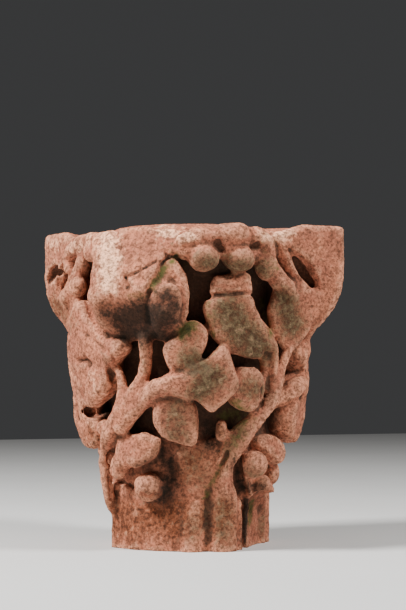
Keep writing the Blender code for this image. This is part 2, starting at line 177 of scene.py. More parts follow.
@dataclass(frozen=True)
class Sight:
    """Where the camera stands, and what each place of the picture looks at."""

    bearing: float = -26.5
    distance: float = 1.89
    aside: float = 0.015
    eye_height: float = 0.182
    focal_pixels: float = 1640.0
    picture: tuple[float, float] = (406.0, 610.0)
    axis_row: float = 385.0
    sensor: float = 36.0

    @property
    def eye(self) -> Vector:
        """Return the camera's place."""
        return (outward_of(self.bearing) * self.distance + rightward_of(self.bearing) * self.aside
                + Vector((0.0, 0.0, self.eye_height)))

    @property
    def axes(self) -> tuple[Vector, Vector, Vector]:
        """Work out the picture's directions.

        Returns:
            Right, up and forward.
        """
        pitch = math.atan((self.axis_row - self.picture[1] / 2.0) / self.focal_pixels)
        level = -outward_of(self.bearing)
        forward = level * math.cos(pitch) + Vector((0.0, 0.0, math.sin(pitch)))
        right = rightward_of(self.bearing)
        return right, right.cross(forward), forward

    def ray(self, x: float, y: float) -> Vector:
        """Return the direction in which the camera sees a place of the picture."""
        right, upward, forward = self.axes
        return (right * (x - self.picture[0] / 2.0) + upward * (self.picture[1] / 2.0 - y)
                + forward * self.focal_pixels).normalized()

    def meet(self, x: float, y: float, point: Vector, normal: Vector) -> Vector:
        """Give the place where the sight line of a picture point meets a plane.

        Args:
            x: Picture column.
            y: Picture row, counted downward.
            point: Any point of the plane.
            normal: The plane's normal.

        Returns:
            The place in metres.
        """
        aim = self.ray(x, y)
        return self.eye + aim * ((point - self.eye).dot(normal) / aim.dot(normal))

    def pin(self, x: float, y: float, out: float, bearing: float) -> Vector:
        """Return what a picture point shows at a distance out, counted along a bearing."""
        normal = outward_of(bearing)
        return self.meet(x, y, normal * out * MODULE, normal)

    def project(self, places: np.ndarray) -> tuple[np.ndarray, np.ndarray, np.ndarray]:
        """Give the picture columns, rows and depths of many places.

        Args:
            places: Array of places, one to a row.

        Returns:
            Columns, rows and depths.
        """
        right, upward, forward = (np.array(axis) for axis in self.axes)
        shift = places - np.array(self.eye)
        depth = shift @ forward
        columns = self.picture[0] / 2.0 + self.focal_pixels * (shift @ right) / depth
        rows = self.picture[1] / 2.0 - self.focal_pixels * (shift @ upward) / depth
        return columns, rows, depth

    def make_camera(self) -> None:
        """Set up the camera."""
        clear_selection()
        forward = self.axes[2]
        bpy.ops.object.camera_add(location=self.eye)
        camera = bpy.context.object
        camera.name = "camera"
        camera.rotation_euler = forward.to_track_quat("-Z", "Y").to_euler()
        camera.data.sensor_width = self.sensor
        camera.data.lens = self.sensor * self.focal_pixels / self.picture[1]
        camera.data.dof.use_dof = False
        bpy.context.scene.camera = camera


@dataclass(frozen=True)
class Leaf:
    """One lobe of a leaf, drawn by its outline in the picture.

    The outline lies in a plane that stands `out` from the axis at `bearing`, leant and swung.
    """

    outline: Line
    bearing: float
    out: float
    rise: float = 2.4
    back: float = 6.0
    lean: float = 0.0
    yaw: float = 0.0
    flat: float = 0.55
    turns: Point = (0.0,)


class Banker:
    """The mason's bench: keeps the first shapes, and gathers what stands and what is cut."""

    pillow_points: int = 48
    pillow_rings: int = 6
    pillow_foot: Line = ((0.85, -0.6), (1.0, -0.25), (1.0, 0.0))
    pillow_arc: float = math.radians(85.0)
    rim_parts: int = 8
    spin_steps: int = 96

    def __init__(self, sight: Sight) -> None:
        """Set up the bench.

        Args:
            sight: The camera, which places what is drawn by the picture.
        """
        self.sight = sight
        self.shapes: dict[Cut, bmesh.types.BMesh] = {kind: bmesh.new() for kind in Cut}
        self.ball_mesh = self._first_ball()
        self.pillow_mesh = self._first_pillow()

    def _first_ball(self) -> bpy.types.Mesh:
        """Model the ball that every berry and lump starts from.

        Returns:
            Its mesh, of radius 1.
        """
        clear_selection()
        bpy.ops.mesh.primitive_ico_sphere_add(subdivisions=3, radius=1.0)
        ball = bpy.context.object
        with editing(ball):
            bpy.ops.mesh.vertices_smooth(factor=0.3)
        return take_mesh(ball)

    def _first_pillow(self) -> bpy.types.Mesh:
        """Model the round pillow that every leaf lobe starts from: a disc raised ring by ring.

        Returns:
            Its mesh, of radius 1 and height 1.
        """
        reach, level = 0.5, -1.0
        clear_selection()
        bpy.ops.mesh.primitive_circle_add(vertices=self.pillow_points, radius=reach,
                                          fill_type="NGON", location=(0.0, 0.0, level))
        bpy.ops.object.transform_apply()
        pillow = bpy.context.object
        stack = list(self.pillow_foot)
        for ring in range(1, self.pillow_rings + 1):
            angle = self.pillow_arc * ring / self.pillow_rings
            stack.append((math.cos(angle), math.sin(angle)))
        with editing(pillow):
            for wide, high in stack:
                bpy.ops.mesh.extrude_region_move(
                    TRANSFORM_OT_translate={"value": (0.0, 0.0, high - level)})
                share = wide / reach
                bpy.ops.transform.resize(value=(share, share, 1.0),
                                         center_override=(0.0, 0.0, 0.0))
                reach, level = wide, high
            bpy.ops.mesh.select_all(action="SELECT")
            bpy.ops.mesh.normals_make_consistent(inside=False)
        return take_mesh(pillow)

    def gather(self, mesh: bpy.types.Mesh, cut: Cut = Cut.STAND, turns: Point = (0.0,)) -> None:
        """Put a finished shape on the block, once for each turn about the axis.

        Args:
            mesh: The shape, in metres. It is used up.
            cut: Whether the shape stands or is taken out.
            turns: Turns about the axis in degrees.
        """
        for turn in turns:
            copy = mesh.copy()
            copy.transform(Matrix.Rotation(math.radians(turn), 4, "Z"))
            self.shapes[cut].from_mesh(copy)
            bpy.data.meshes.remove(copy)
        bpy.data.meshes.remove(mesh)

    def ball(self, centre: Vector, radius: float, tall: float = 1.0, cut: Cut = Cut.STAND,
             turns: Point = (0.0,)) -> None:
        """Set a ball.

        Args:
            centre: Its middle, in metres.
            radius: Its radius.
            tall: Height against width.
            cut: Whether it stands or is taken out.
            turns: Turns about the axis.
        """
        mesh = self.ball_mesh.copy()
        size = radius * MODULE
        mesh.transform(Matrix.Translation(centre) @ Matrix.Diagonal((size, size, size * tall, 1.0)))
        self.gather(mesh, cut, turns)

    def wrap(self, centres: Iterable[Ball], cut: Cut = Cut.STAND, turns: Point = (0.0,)) -> None:
        """Wrap balls in one skin.

        Args:
            centres: Middles in metres, with radii.
            cut: Whether the lump stands or is taken out.
            turns: Turns about the axis.
        """
        gathered = bmesh.new()
        for centre, radius in centres:
            mesh = self.ball_mesh.copy()
            mesh.transform(Matrix.Translation(centre) @ Matrix.Scale(radius * MODULE, 4))
            gathered.from_mesh(mesh)
            bpy.data.meshes.remove(mesh)
        mesh = bpy.data.meshes.new("lump")
        gathered.to_mesh(mesh)
        gathered.free()
        thing = link_mesh("lump", mesh)
        with editing(thing):
            bpy.ops.mesh.convex_hull()
            bpy.ops.mesh.normals_make_consistent(inside=False)
        self.gather(take_mesh(thing), cut, turns)

    def _join(self, centres: list[Ball], cut: Cut, turns: Point = (0.0,)) -> None:
        """Wrap each ball of a row together with the next."""
        for pair in zip(centres, centres[1:]):
            self.wrap(pair, cut, turns)

    def _pinned(self, balls: Line, bearing: float) -> list[Ball]:
        """Return the middles and radii of balls that are drawn by the picture."""
        return [(self.sight.pin(x, y, out, bearing), radius) for x, y, out, radius in balls]

    def _measured(self, balls: Line, bearing: float) -> list[Ball]:
        """Return the middles and radii of balls that are given by measure at one bearing."""
        return [(place(bearing, out, up, side), radius) for out, up, side, radius in balls]

    def lump(self, balls: Line, bearing: float, turns: Point = (0.0,), cut: Cut = Cut.STAND) -> None:
        """Wrap balls of the picture (column, row, distance out, radius) in one skin."""
        self.wrap(self._pinned(balls, bearing), cut, turns)

    def chain(self, balls: Line, bearing: float, turns: Point = (0.0,), cut: Cut = Cut.STAND) -> None:
        """Join each ball of the picture (column, row, distance out, radius) to the next."""
        self._join(self._pinned(balls, bearing), cut, turns)

    def cleft(self, balls: Line, bearing: float, sunk: float, turns: Point = (0.0,)) -> None:
        """Take a chain out of the block, and once more further in by `sunk`."""
        for step in (0.0, sunk):
            self.chain(tuple((x, y, out - step, radius) for x, y, out, radius in balls), bearing,
                       turns, Cut.HOLLOW)

    def pebbles(self, balls: Line, bearing: float, turns: Point = (0.0,),
                cut: Cut = Cut.STAND) -> None:
        """Set single balls of the picture, which may also give height against width."""
        for x, y, out, radius, *tall in balls:
            self.ball(self.sight.pin(x, y, out, bearing), radius, *tall, cut=cut, turns=turns)

    def row(self, bearing: float, balls: Line, cut: Cut = Cut.STAND) -> None:
        """Join balls given by measure: distance out, height, side step and radius."""
        self._join(self._measured(balls, bearing), cut)

    def mass(self, bearing: float, balls: Line) -> None:
        """Wrap balls given by measure: distance out, height, side step and radius."""
        self.wrap(self._measured(balls, bearing))

    def spread(self, balls: Iterable[Point], cut: Cut = Cut.STAND) -> None:
        """Wrap balls that each give a bearing, distance out, height and radius."""
        self.wrap([(place(bearing, out, up), radius) for bearing, out, up, radius in balls], cut)

    def leaf(self, shape: Leaf) -> None:
        """Set a leaf lobe: the pillow drawn out to the lobe's outline.

        Args:
            shape: The lobe.
        """
        columns = [x for x, _ in shape.outline]
        rows = [y for _, y in shape.outline]
        middle = self.sight.pin(sum(columns) / len(columns), sum(rows) / len(rows), shape.out,
                                shape.bearing)
        outward = outward_of(shape.bearing + shape.yaw)
        rightward = rightward_of(shape.bearing + shape.yaw)
        tilt = Matrix.Rotation(math.radians(shape.lean), 3, rightward)
        outward = tilt @ outward
        upward = outward.cross(rightward)
        rim = []
        for x, y in shape.outline:
            shift = self.sight.meet(x, y, middle, outward) - middle
            rim.append((shift.dot(rightward), shift.dot(upward)))
        reach = self._reach(rim)
        mesh = self.pillow_mesh.copy()
        for vert in mesh.vertices:
            angle = math.atan2(vert.co.y, vert.co.x)
            share = math.hypot(vert.co.x, vert.co.y)
            if vert.co.z > 0.0:
                share = share ** shape.flat
                height = shape.rise * vert.co.z ** shape.flat
            else:
                height = shape.back * vert.co.z
            ring = reach(angle) * share
            vert.co = (middle + rightward * ring * math.cos(angle)
                       + upward * ring * math.sin(angle) + outward * height * MODULE)
        self.gather(mesh, Cut.STAND, shape.turns)

    def _reach(self, rim: list[tuple[float, float]]) -> Callable[[float], float]:
        """Make a smooth function from heading to distance out of outline points.

        Args:
            rim: Outline points about the lobe's middle, in metres.

        Returns:
            Function that gives the distance to the rim at an angle in radians.
        """
        dense = []
        count = len(rim)
        for k in range(count):
            before, here, after, beyond = (Vector(rim[(k + step) % count]) for step in (-1, 0, 1, 2))
            for part in range(self.rim_parts):
                t = part / self.rim_parts
                dense.append(0.5 * ((2.0 * here) + (after - before) * t
                                    + (2.0 * before - 5.0 * here + 4.0 * after - beyond) * t * t
                                    + (3.0 * here - before - 3.0 * after + beyond) * t ** 3))
        pairs = sorted((math.atan2(point.y, point.x), point.length) for point in dense)
        angles = np.array([pair[0] for pair in pairs])
        lengths = np.array([pair[1] for pair in pairs])
        return lambda angle: float(np.interp(angle, angles, lengths, period=2.0 * math.pi))

    def spun(self, profile: Line) -> None:
        """Set a solid turned about the axis.

        Args:
            profile: Heights and radii from the top down, starting and ending on the axis.
        """
        mesh = bpy.data.meshes.new("profile")
        points = [(radius * MODULE, 0.0, up * MODULE) for up, radius in profile]
        mesh.from_pydata(points, [(k, k + 1) for k in range(len(points) - 1)], [])
        thing = link_mesh("profile", mesh)
        with editing(thing):
            bpy.ops.mesh.spin(steps=self.spin_steps, angle=2.0 * math.pi,
                              center=(0.0, 0.0, 0.0), axis=(0.0, 0.0, 1.0))
            bpy.ops.mesh.select_all(action="SELECT")
            bpy.ops.mesh.remove_doubles(threshold=0.0001)
            bpy.ops.mesh.normals_make_consistent(inside=False)
        self.gather(take_mesh(thing))


@dataclass
class Bell:
    """Turned core behind the leaves, with the square top."""

    foot: float = 24.44
    throat: float = 24.8
    rim: float = 31.0
    top: float = 33.06
    edge: float = 0.83

    def carve(self, bench: Banker) -> None:
        """Set the core and the square top.

        Args:
            bench: Where the shapes are gathered.
        """
        bench.spun(((103.0, 0.0), (103.0, self.rim - 12.0), (100.5, self.rim - 9.0),
                    (98.0, self.rim - 3.0), (94.0, self.rim), (87.0, self.rim - 0.6),
                    (70.0, self.throat + 2.8), (52.0, self.throat + 0.8),
                    (36.0, self.throat - 0.2), (18.0, self.foot), (-3.0, self.foot), (-3.0, 0.0)))
        corner = self.top * math.sqrt(2.0) - self.edge
        balls = []
        for bearing in (45.0, 135.0, 225.0):
            balls += [(place(bearing, corner, 93.0), self.edge),
                      (place(bearing, corner - 3.0, 98.8), self.edge)]
        balls += [(place(315.0, self.top * 1.02, 93.0), self.edge),
                  (place(315.0, self.top, 96.4), self.edge)]
        for bearing in (0.0, 90.0, 180.0, 270.0):
            balls += [(place(bearing, self.top - self.edge, 95.6), self.edge),
                      (place(bearing, self.rim - 3.0, 88.0), 2.0)]
        bench.wrap(balls)


@dataclass
class Crocket:
    """Curled corner leaf: a fin to the corner, a lobe on each side and a slash behind each."""

    bearing: float
    reach: float = 49.1
    slash_depth: float = 2.5
    slash_taper: float = 0.8
    fin: Line = (
        (0, 98.6, 0, 1.5), (0, 86.5, 0, 1.6), (-1.2, 80.5, 0, 2.2), (-4.2, 76, 0, 3),
        (-9.1, 71.5, 0, 3.6), (-9.1, 98.6, 8, 1.5), (-9.1, 98.6, -8, 1.5), (-16.1, 96, 15, 1.5),
        (-16.1, 96, -15, 1.5), (-11.6, 88, 9.5, 1.8), (-11.6, 88, -9.5, 1.8), (-19.1, 72, 0, 4))
    band: Line = (
        (28.2, 92.6, 18.6, 2.2), (31, 87, 16.4, 2.7), (33.8, 82, 14, 3.1), (36.6, 78.6, 11.6, 3.3))
    lobe: Line = (
        (34.4, 80, 12.2, 3), (38.6, 79.6, 8.2, 2.8), (43, 78, 3.6, 2.2), (41.6, 73.6, 3.2, 2.4),
        (38.4, 69.4, 4.4, 2.4), (34.8, 64.4, 9, 1.7), (33.8, 63, 10.2, 1.2), (32.2, 67, 12.8, 1.9),
        (31.8, 73, 14.2, 2.2), (31, 74, 6, 3))
    slash: Line = (
        (36.6, 92.2, 13.4, 0.8), (38.8, 89.2, 11.4, 1.9), (41, 85.8, 9.2, 2.8), (43, 82, 7.2, 2.3),
        (44.4, 79.2, 5.8, 0.9))
    heart: Line = ((38, 73, 0, 4), (34, 67.5, 0, 3.5), (33, 73, 8, 4), (33, 73, -8, 4))

    def carve(self, bench: Banker) -> None:
        """Set one corner leaf.

        Args:
            bench: Where the shapes are gathered.
        """
        bench.mass(self.bearing, tuple((self.reach + out, up, side, ball)
                                       for out, up, side, ball in self.fin))
        sunk = tuple((out - self.slash_depth, up, side - self.slash_depth, ball * self.slash_taper)
                     for out, up, side, ball in self.slash)
        for hand in (-1.0, 1.0):
            bench.row(self.bearing, self._handed(self.band, hand))
            bench.mass(self.bearing, self._handed(self.lobe, hand))
            for balls in (self.slash, sunk):
                bench.row(self.bearing, self._handed(balls, hand), Cut.HOLLOW)
        bench.mass(self.bearing, self.heart)

    def _handed(self, balls: Line, hand: float) -> Line:
        """Return a row of balls on one hand or the other."""
        return tuple((out, up, side * hand, ball) for out, up, side, ball in balls)


@dataclass
class BrokenCrocket:
    """Near corner leaf, its point broken off in a flat slanting face over a dark belly."""

    bearing: float = -45.0
    facet: Line = (
        (122, 230.5, 35.4, 0.9), (152, 230, 35.4, 0.9), (156, 243, 36.4, 1), (163, 256, 37.6, 1),
        (155, 270, 39.4, 1), (143, 290, 42, 1), (134, 290, 42, 1), (123, 276, 41, 1),
        (119, 256, 38.8, 1), (118, 242, 28, 1), (160, 244, 28, 1), (138, 306, 30, 2))
    shoulder: Line = (
        (158, 233.5, 34.2, 1.6), (176, 235, 32.2, 1.8), (188, 240, 30.2, 2.2), (172, 252, 35.6, 1.8),
        (150, 240, 30, 2), (168, 262, 30, 2))
    ridge_top: Line = (
        (100, 240, 32.6, 2.4), (112, 236, 34.4, 1.8), (104, 262, 36.8, 3.6), (117, 262, 38.2, 1.8),
        (112, 256, 26, 3))
    ridge_middle: Line = (
        (104, 262, 36.8, 3.6), (117, 264, 38.4, 1.8), (104, 294, 37.8, 4.6), (124, 292, 40, 2.2),
        (112, 280, 26, 3))
    ridge_foot: Line = (
        (103, 296, 37.6, 4.8), (122, 296, 39.4, 2.6), (109, 320, 34.2, 4), (126, 328, 32.8, 3),
        (114, 306, 26, 3))
    rim: Line = (
        (172, 266, 36.2, 2.2), (180, 279, 35.8, 2.3), (182, 294, 35.4, 2.4), (181, 310, 34.8, 2.4),
        (175, 325, 34, 2.5))
    bed: Line = (
        (150, 264, 36, 2.2), (168, 264, 35.4, 2.4), (152, 286, 38.2, 2.4), (174, 290, 35.6, 3),
        (156, 304, 37, 3), (172, 316, 33.6, 3.2), (160, 331, 32, 3), (160, 290, 26, 4))
    petal: Line = (
        (158, 291, 39.8, 2.2), (166, 287, 39.6, 2.2), (174, 290, 38.8, 2.2), (177, 300, 38, 2.2),
        (158, 306, 39.2, 2.4), (174, 318, 35.6, 2.6), (158, 326, 34.8, 3), (164, 334, 32.8, 2.4),
        (166, 310, 39, 2.8), (165, 305, 30, 3))
    belly: Line = (
        (108, 304, 37, 3.4), (124, 297, 39.6, 2.4), (140, 295.5, 40.6, 1.8), (152, 299, 39, 2.4),
        (112, 326, 32, 3), (130, 332, 31.6, 2.8), (148, 333, 32, 2.8), (130, 310, 26, 4),
        (160, 322, 26, 4))
    moss_groove: Line = (
        (176, 256, 38.4, 0.7), (168, 264, 39.4, 1.2), (160, 273, 40.8, 1.5), (153, 283, 42.2, 1.5),
        (148, 293, 43.4, 1))

    def carve(self, bench: Banker) -> None:
        """Set the broken corner leaf.

        Args:
            bench: Where the shapes are gathered.
        """
        for balls in (self.facet, self.shoulder, self.ridge_top, self.ridge_middle,
                      self.ridge_foot, self.bed, self.petal, self.belly):
            bench.lump(balls, self.bearing)
        bench.chain(self.rim, self.bearing)
        bench.chain(self.moss_groove, self.bearing, cut=Cut.HOLLOW)


@dataclass
class BerryTwig:
    """Knobbed twig over three berries, in the middle of each face."""

    turns: Point = FRONT_FACES
    twig: Line = (
        (182, 241, 32.4, 2.2), (196, 238, 33.2, 3), (212, 236.5, 33.6, 3.1), (226, 234.5, 34.4, 3.6),
        (238, 234, 34.4, 3.6), (247, 237, 33.4, 2.8), (256, 237.5, 34, 3.4), (263, 242, 33.8, 3.1),
        (268, 251, 33.4, 2.4))
    berries: Line = (
        (203.5, 257.5, 33.6, 4.9, 0.9), (238.5, 258.5, 33.8, 5, 0.86), (266, 266, 33.6, 3.8, 1.25))
    web: Line = ((186, 250, 31.4, 3.2), (203, 249, 32.8, 3.2), (238, 249, 33, 3.2), (266, 256, 32.2, 3))
    holes: Line = (
        (218.5, 244.5, 36.4, 2), (221, 249.5, 35.6, 1.5), (257, 246, 36.4, 1.6),
        (252, 247.5, 35.6, 1.1))

    def carve(self, bench: Banker) -> None:
        """Set the twigs and berries.

        Args:
            bench: Where the shapes are gathered.
        """
        bench.chain(self.twig, 0.0, self.turns)
        bench.chain(self.web, 0.0, self.turns)
        bench.pebbles(self.berries, 0.0, self.turns)
        bench.pebbles(self.holes, 0.0, self.turns, Cut.HOLLOW)


@dataclass
class HangingLeaf:
    """Leaf hung below the berries: neck, blade, curled right margin and lower lobe."""

    turns: Point = FRONT_FACES
    neck: Line = (
        (218, 281, 31.8, 1.9), (245, 279, 32.2, 1.9), (215, 292, 32.8, 1.7), (247, 290, 33, 1.7),
        (231, 290, 33.4, 1.9), (231, 286, 26, 3))
    blade: Line = (
        (205, 304), (214, 298), (232, 296.5), (249, 294), (255, 308), (262, 322), (272, 338),
        (278, 350), (266, 351), (259, 359), (248, 358), (238, 355), (230, 354), (222, 346), (214, 337),
        (208, 321))
    margin: Line = (
        (258, 322, 33.6, 1.6), (268, 335, 34.2, 1.7), (274, 348, 34.4, 1.6), (274.5, 362, 34, 1.4),
        (273, 380, 33.4, 1.3), (269, 396, 32.6, 1.2), (262, 407, 31.8, 1.2))
    fold: Line = (
        (250, 342, 33, 2.4), (259, 348, 32.8, 2.4), (265, 358, 32.2, 2.2), (266, 371, 31.6, 2),
        (264, 386, 31, 1.8))
    lobe: Line = (
        (234, 373), (243, 366), (254, 367.5), (261, 375), (263, 388), (259, 401), (250, 411),
        (239, 410), (230, 401), (228, 387))
    gap: Line = (
        (236, 361, 35.4, 1.5), (243, 361, 35.4, 1.7), (251, 364, 35.2, 1.2), (238, 362, 30.6, 1.5),
        (250, 364, 30.6, 1.3))

    def carve(self, bench: Banker) -> None:
        """Set the hanging leaves.

        Args:
            bench: Where the shapes are gathered.
        """
        bench.lump(self.neck, 0.0, self.turns)
        bench.leaf(Leaf(self.blade, -4.0, 34.2, rise=2.0, back=7.5, lean=3.0, flat=0.4,
                        turns=self.turns))
        bench.chain(self.margin, 4.0, self.turns)
        bench.chain(self.fold, 2.0, self.turns)
        bench.leaf(Leaf(self.lobe, 2.0, 32.6, rise=3.2, back=8.0, lean=8.0, flat=0.55,
                        turns=self.turns))
        bench.lump(self.gap, 0.0, self.turns, Cut.HOLLOW)


@dataclass
class BranchLeaf:
    """Leaf of three lobes at the end of a branch."""

    turns: Point = FRONT_FACES
    upper: Line = (
        (189, 321), (200, 322), (207, 330), (208, 341), (203, 353), (196, 366), (184, 373), (173, 373),
        (166, 362), (163, 348), (170, 340), (180, 333))
    middle: Line = (
        (222, 345), (231, 356), (235, 369), (239, 386), (230, 398), (221, 406), (212, 413), (203, 407),
        (195, 400), (181, 398), (168, 392), (162, 384), (172, 374), (188, 368), (204, 360))
    lower: Line = (
        (162, 396), (178, 394), (190, 399), (197, 412), (198, 428), (195.5, 446), (182, 443.5),
        (168, 440), (158, 431), (153, 417), (155, 403))
    branch: Line = (
        (122, 426, 27.2, 2.8), (134, 410, 29.8, 2.9), (146, 397, 32.2, 3), (158, 388.5, 34, 3.2),
        (171, 384.5, 34.6, 3.5), (186, 385, 34, 3.5))
    root: Line = (
        (146, 408, 24, 2.4), (153, 396, 31, 2.7), (160, 388.5, 34, 3.1), (171, 384.5, 34.6, 3.4),
        (186, 385, 34, 3.5))

    def carve(self, bench: Banker) -> None:
        """Set the three lobes and the branch that carries them.

        Args:
            bench: Where the shapes are gathered.
        """
        bench.leaf(Leaf(self.upper, -30.0, 34.6, rise=2.8, back=8.0, lean=2.0, yaw=6.0, flat=0.5,
                        turns=self.turns))
        bench.leaf(Leaf(self.middle, -24.0, 35.2, rise=2.8, back=8.0, lean=6.0, yaw=-2.0, flat=0.5,
                        turns=self.turns))
        bench.leaf(Leaf(self.lower, -34.0, 31.2, rise=3.4, back=6.5, lean=8.0, yaw=2.0, flat=0.5,
                        turns=self.turns))
        bench.chain(self.branch, -36.0)
        bench.chain(self.root, -36.0, self.turns[1:])


@dataclass
class Stem:
    """Trunk at the foot of each face, and its stem that rises right to the corner leaf."""

    turns: Point = FRONT_FACES
    trunk: Line = (
        (221, 560, 23, 4.9), (222, 520, 23.2, 4.8), (223, 500, 23.6, 4.5), (221, 480, 24.4, 3.9),
        (222, 463, 25.6, 3.6), (231, 448, 27.4, 3.8), (242, 434, 29.4, 3.4), (255, 420, 30.8, 2.8),
        (266, 407, 31.4, 2.5), (274, 392, 31.8, 2.2), (279, 377, 31.8, 1.8), (283, 362, 31.6, 1.6),
        (289, 349, 31.4, 1.5), (297, 338, 31.2, 1.8), (304, 327, 31, 2.4))
    lump: Line = ((221, 425, 28.6, 1.9), (222, 434, 28, 2), (231, 438, 26.8, 2.4))
    upper_blade: Line = (
        (298, 338), (305, 336), (308, 346), (307, 358), (302, 368), (296, 358), (294, 347))
    lower_blade: Line = (
        (291, 374), (299, 370), (303, 384), (303, 402), (301, 420), (293, 444), (287, 430), (283, 412),
        (282, 394), (285, 382))
    backing: Line = (
        (298, 345, 28, 3), (298, 362, 26.5, 3), (292, 385, 25, 3), (290, 415, 23.6, 2.6),
        (270, 380, 22, 4))

    def carve(self, bench: Banker) -> None:
        """Set the stems and the small blades behind them.

        Args:
            bench: Where the shapes are gathered.
        """
        bench.chain(self.trunk, 0.0, self.turns)
        bench.chain(self.lump, 0.0, self.turns)
        bench.leaf(Leaf(self.upper_blade, 30.0, 32.4, rise=1.8, back=6.0, turns=self.turns))
        bench.leaf(Leaf(self.lower_blade, 30.0, 28.8, rise=2.2, back=6.0, lean=8.0,
                        turns=self.turns))
        bench.lump(self.backing, 30.0, self.turns)


@dataclass
class LowBerries:
    """Berries under the stems, near the foot."""

    turns: Point = FRONT_FACES
    main: Line = ((253.5, 464.5, 27.8, 4.5),)
    shade: Line = (
        (237, 458, 26.4, 1.8), (237, 468, 26, 2.4), (238, 484, 25.4, 2.6), (244, 496, 24.6, 1.8))
    shade_sunk: float = 2.6
    leaf: Line = (
        (254, 438), (262, 434), (272, 437), (281, 446), (282.5, 458), (276, 464), (267, 457),
        (257, 448))
    small: Line = ((262, 484, 24.6, 3, 1.05), (268, 490, 23, 2.2, 0.9), (272, 472, 22.4, 2.4, 1.7))

    def carve(self, bench: Banker) -> None:
        """Set the low berries and the leaf over them.

        Args:
            bench: Where the shapes are gathered.
        """
        bench.cleft(self.shade, 5.0, self.shade_sunk, self.turns)
        bench.pebbles(self.main, 5.0, self.turns)
        bench.leaf(Leaf(self.leaf, 22.0, 26.8, rise=2.6, back=6.0, lean=-14.0, turns=self.turns))
        bench.pebbles(self.small, 14.0, self.turns)


@dataclass
class NearLeft:
    """Stem, leaf and berries left of the near corner, which differ from the other faces."""

    bearing: float = -70.0
    stem: Line = (
        (145, 338, 34, 2.4), (146, 350, 33.6, 2), (146, 362, 33, 2), (144, 376, 32.4, 2.1),
        (138, 391, 32, 2.9), (130, 405, 31.2, 3.5), (120, 419, 30, 3.5), (112, 431, 28.8, 3.3),
        (106, 446, 26.8, 2.1), (104.5, 462, 25.4, 1.9), (106, 480, 24.6, 1.8), (109, 498, 23.4, 1.8),
        (113, 508, 20, 1.6))
    knob: Line = ((106, 428, 28.8, 2.9),)
    petiole: Line = (
        (112, 364, 33, 1.6), (119.5, 373, 33, 1.5), (122.5, 385, 32.4, 1.6), (123, 398, 31.4, 2),
        (119, 412, 30.2, 2.4))
    upper: Line = (
        (78, 301), (86, 303), (93, 315), (105, 329), (117, 337), (126, 344), (121, 355), (113, 364),
        (112.5, 380), (109, 394), (102, 403), (94, 408), (87, 403), (84, 393), (81, 378), (75, 366),
        (71, 345), (73, 325), (75, 310))
    lower: Line = (
        (90, 366), (100, 364), (107, 371), (108, 382), (105, 393), (100, 400), (94, 404), (89, 399),
        (86, 390), (85, 378))
    strip: Line = (
        (73, 350, 33.6, 1.7), (73.5, 366, 33.4, 1.7), (76, 384, 33, 1.7), (79, 398, 32.6, 1.3),
        (81, 409, 32.2, 0.7))
    blade: Line = ((84, 418), (95, 419), (101, 430), (100, 446), (89, 447), (84.5, 434), (81, 420))
    top_mass: Line = (
        (121, 440, 29.8, 1.2), (145, 435.5, 31, 1.2), (157, 441, 30.6, 1.2), (151, 451, 30.2, 2.2),
        (136, 459, 30, 2.8), (124, 452, 29.6, 2.6), (122, 448, 23, 3), (150, 450, 22, 3))
    filling: tuple[Line, ...] = (
        ((78, 318, 31, 3), (76, 345, 31, 3), (80, 375, 30, 3), (84, 398, 27, 2.6), (105, 345, 26, 4),
         (104, 385, 23, 4)),
        ((108, 420, 26.4, 2.6), (103, 432, 25.6, 2.4), (116, 430, 24, 3), (106, 448, 23.4, 2.4)))
    hanging: Line = ((132, 455, 29.6, 3.2), (121, 463, 28.8, 3.2), (118.5, 470, 28.2, 3))
    hole: Line = ((116.5, 450, 29.8, 1.1), (111, 454, 28.8, 1.6), (107.5, 462, 28, 1.2))
    pocket: Line = (
        (86, 411, 33, 1.7), (96, 412.5, 32.2, 2.1), (107, 408, 31.4, 2.4), (114, 397, 31.6, 1.9),
        (115.5, 386, 32, 1.2))
    pocket_sunk: float = 3.4
    berry: Line = ((148.5, 487, 26.8, 4.5),)

    def carve(self, bench: Banker) -> None:
        """Set the stems, the leaf and the berries.

        Args:
            bench: Where the shapes are gathered.
        """
        bench.chain(self.stem, -55.0)
        for balls in self.filling:
            bench.lump(balls, -95.0)
        bench.chain(self.petiole, self.bearing)
        bench.leaf(Leaf(self.upper, -78.0, 34.0, rise=3.2, back=8.0, lean=5.0, flat=0.5))
        bench.leaf(Leaf(self.lower, -78.0, 34.2, rise=2.6, back=6.0, lean=8.0, flat=0.6))
        bench.chain(self.strip, -92.0)
        bench.leaf(Leaf(self.blade, -88.0, 30.4, rise=2.2, back=7.0, lean=12.0, flat=0.5))
        bench.lump(self.top_mass, -60.0)
        bench.chain(self.hanging, -66.0)
        bench.pebbles(self.berry, -48.0)
        bench.pebbles(self.knob, self.bearing)
        bench.chain(self.hole, self.bearing, cut=Cut.HOLLOW)
        bench.cleft(self.pocket, -78.0, self.pocket_sunk)


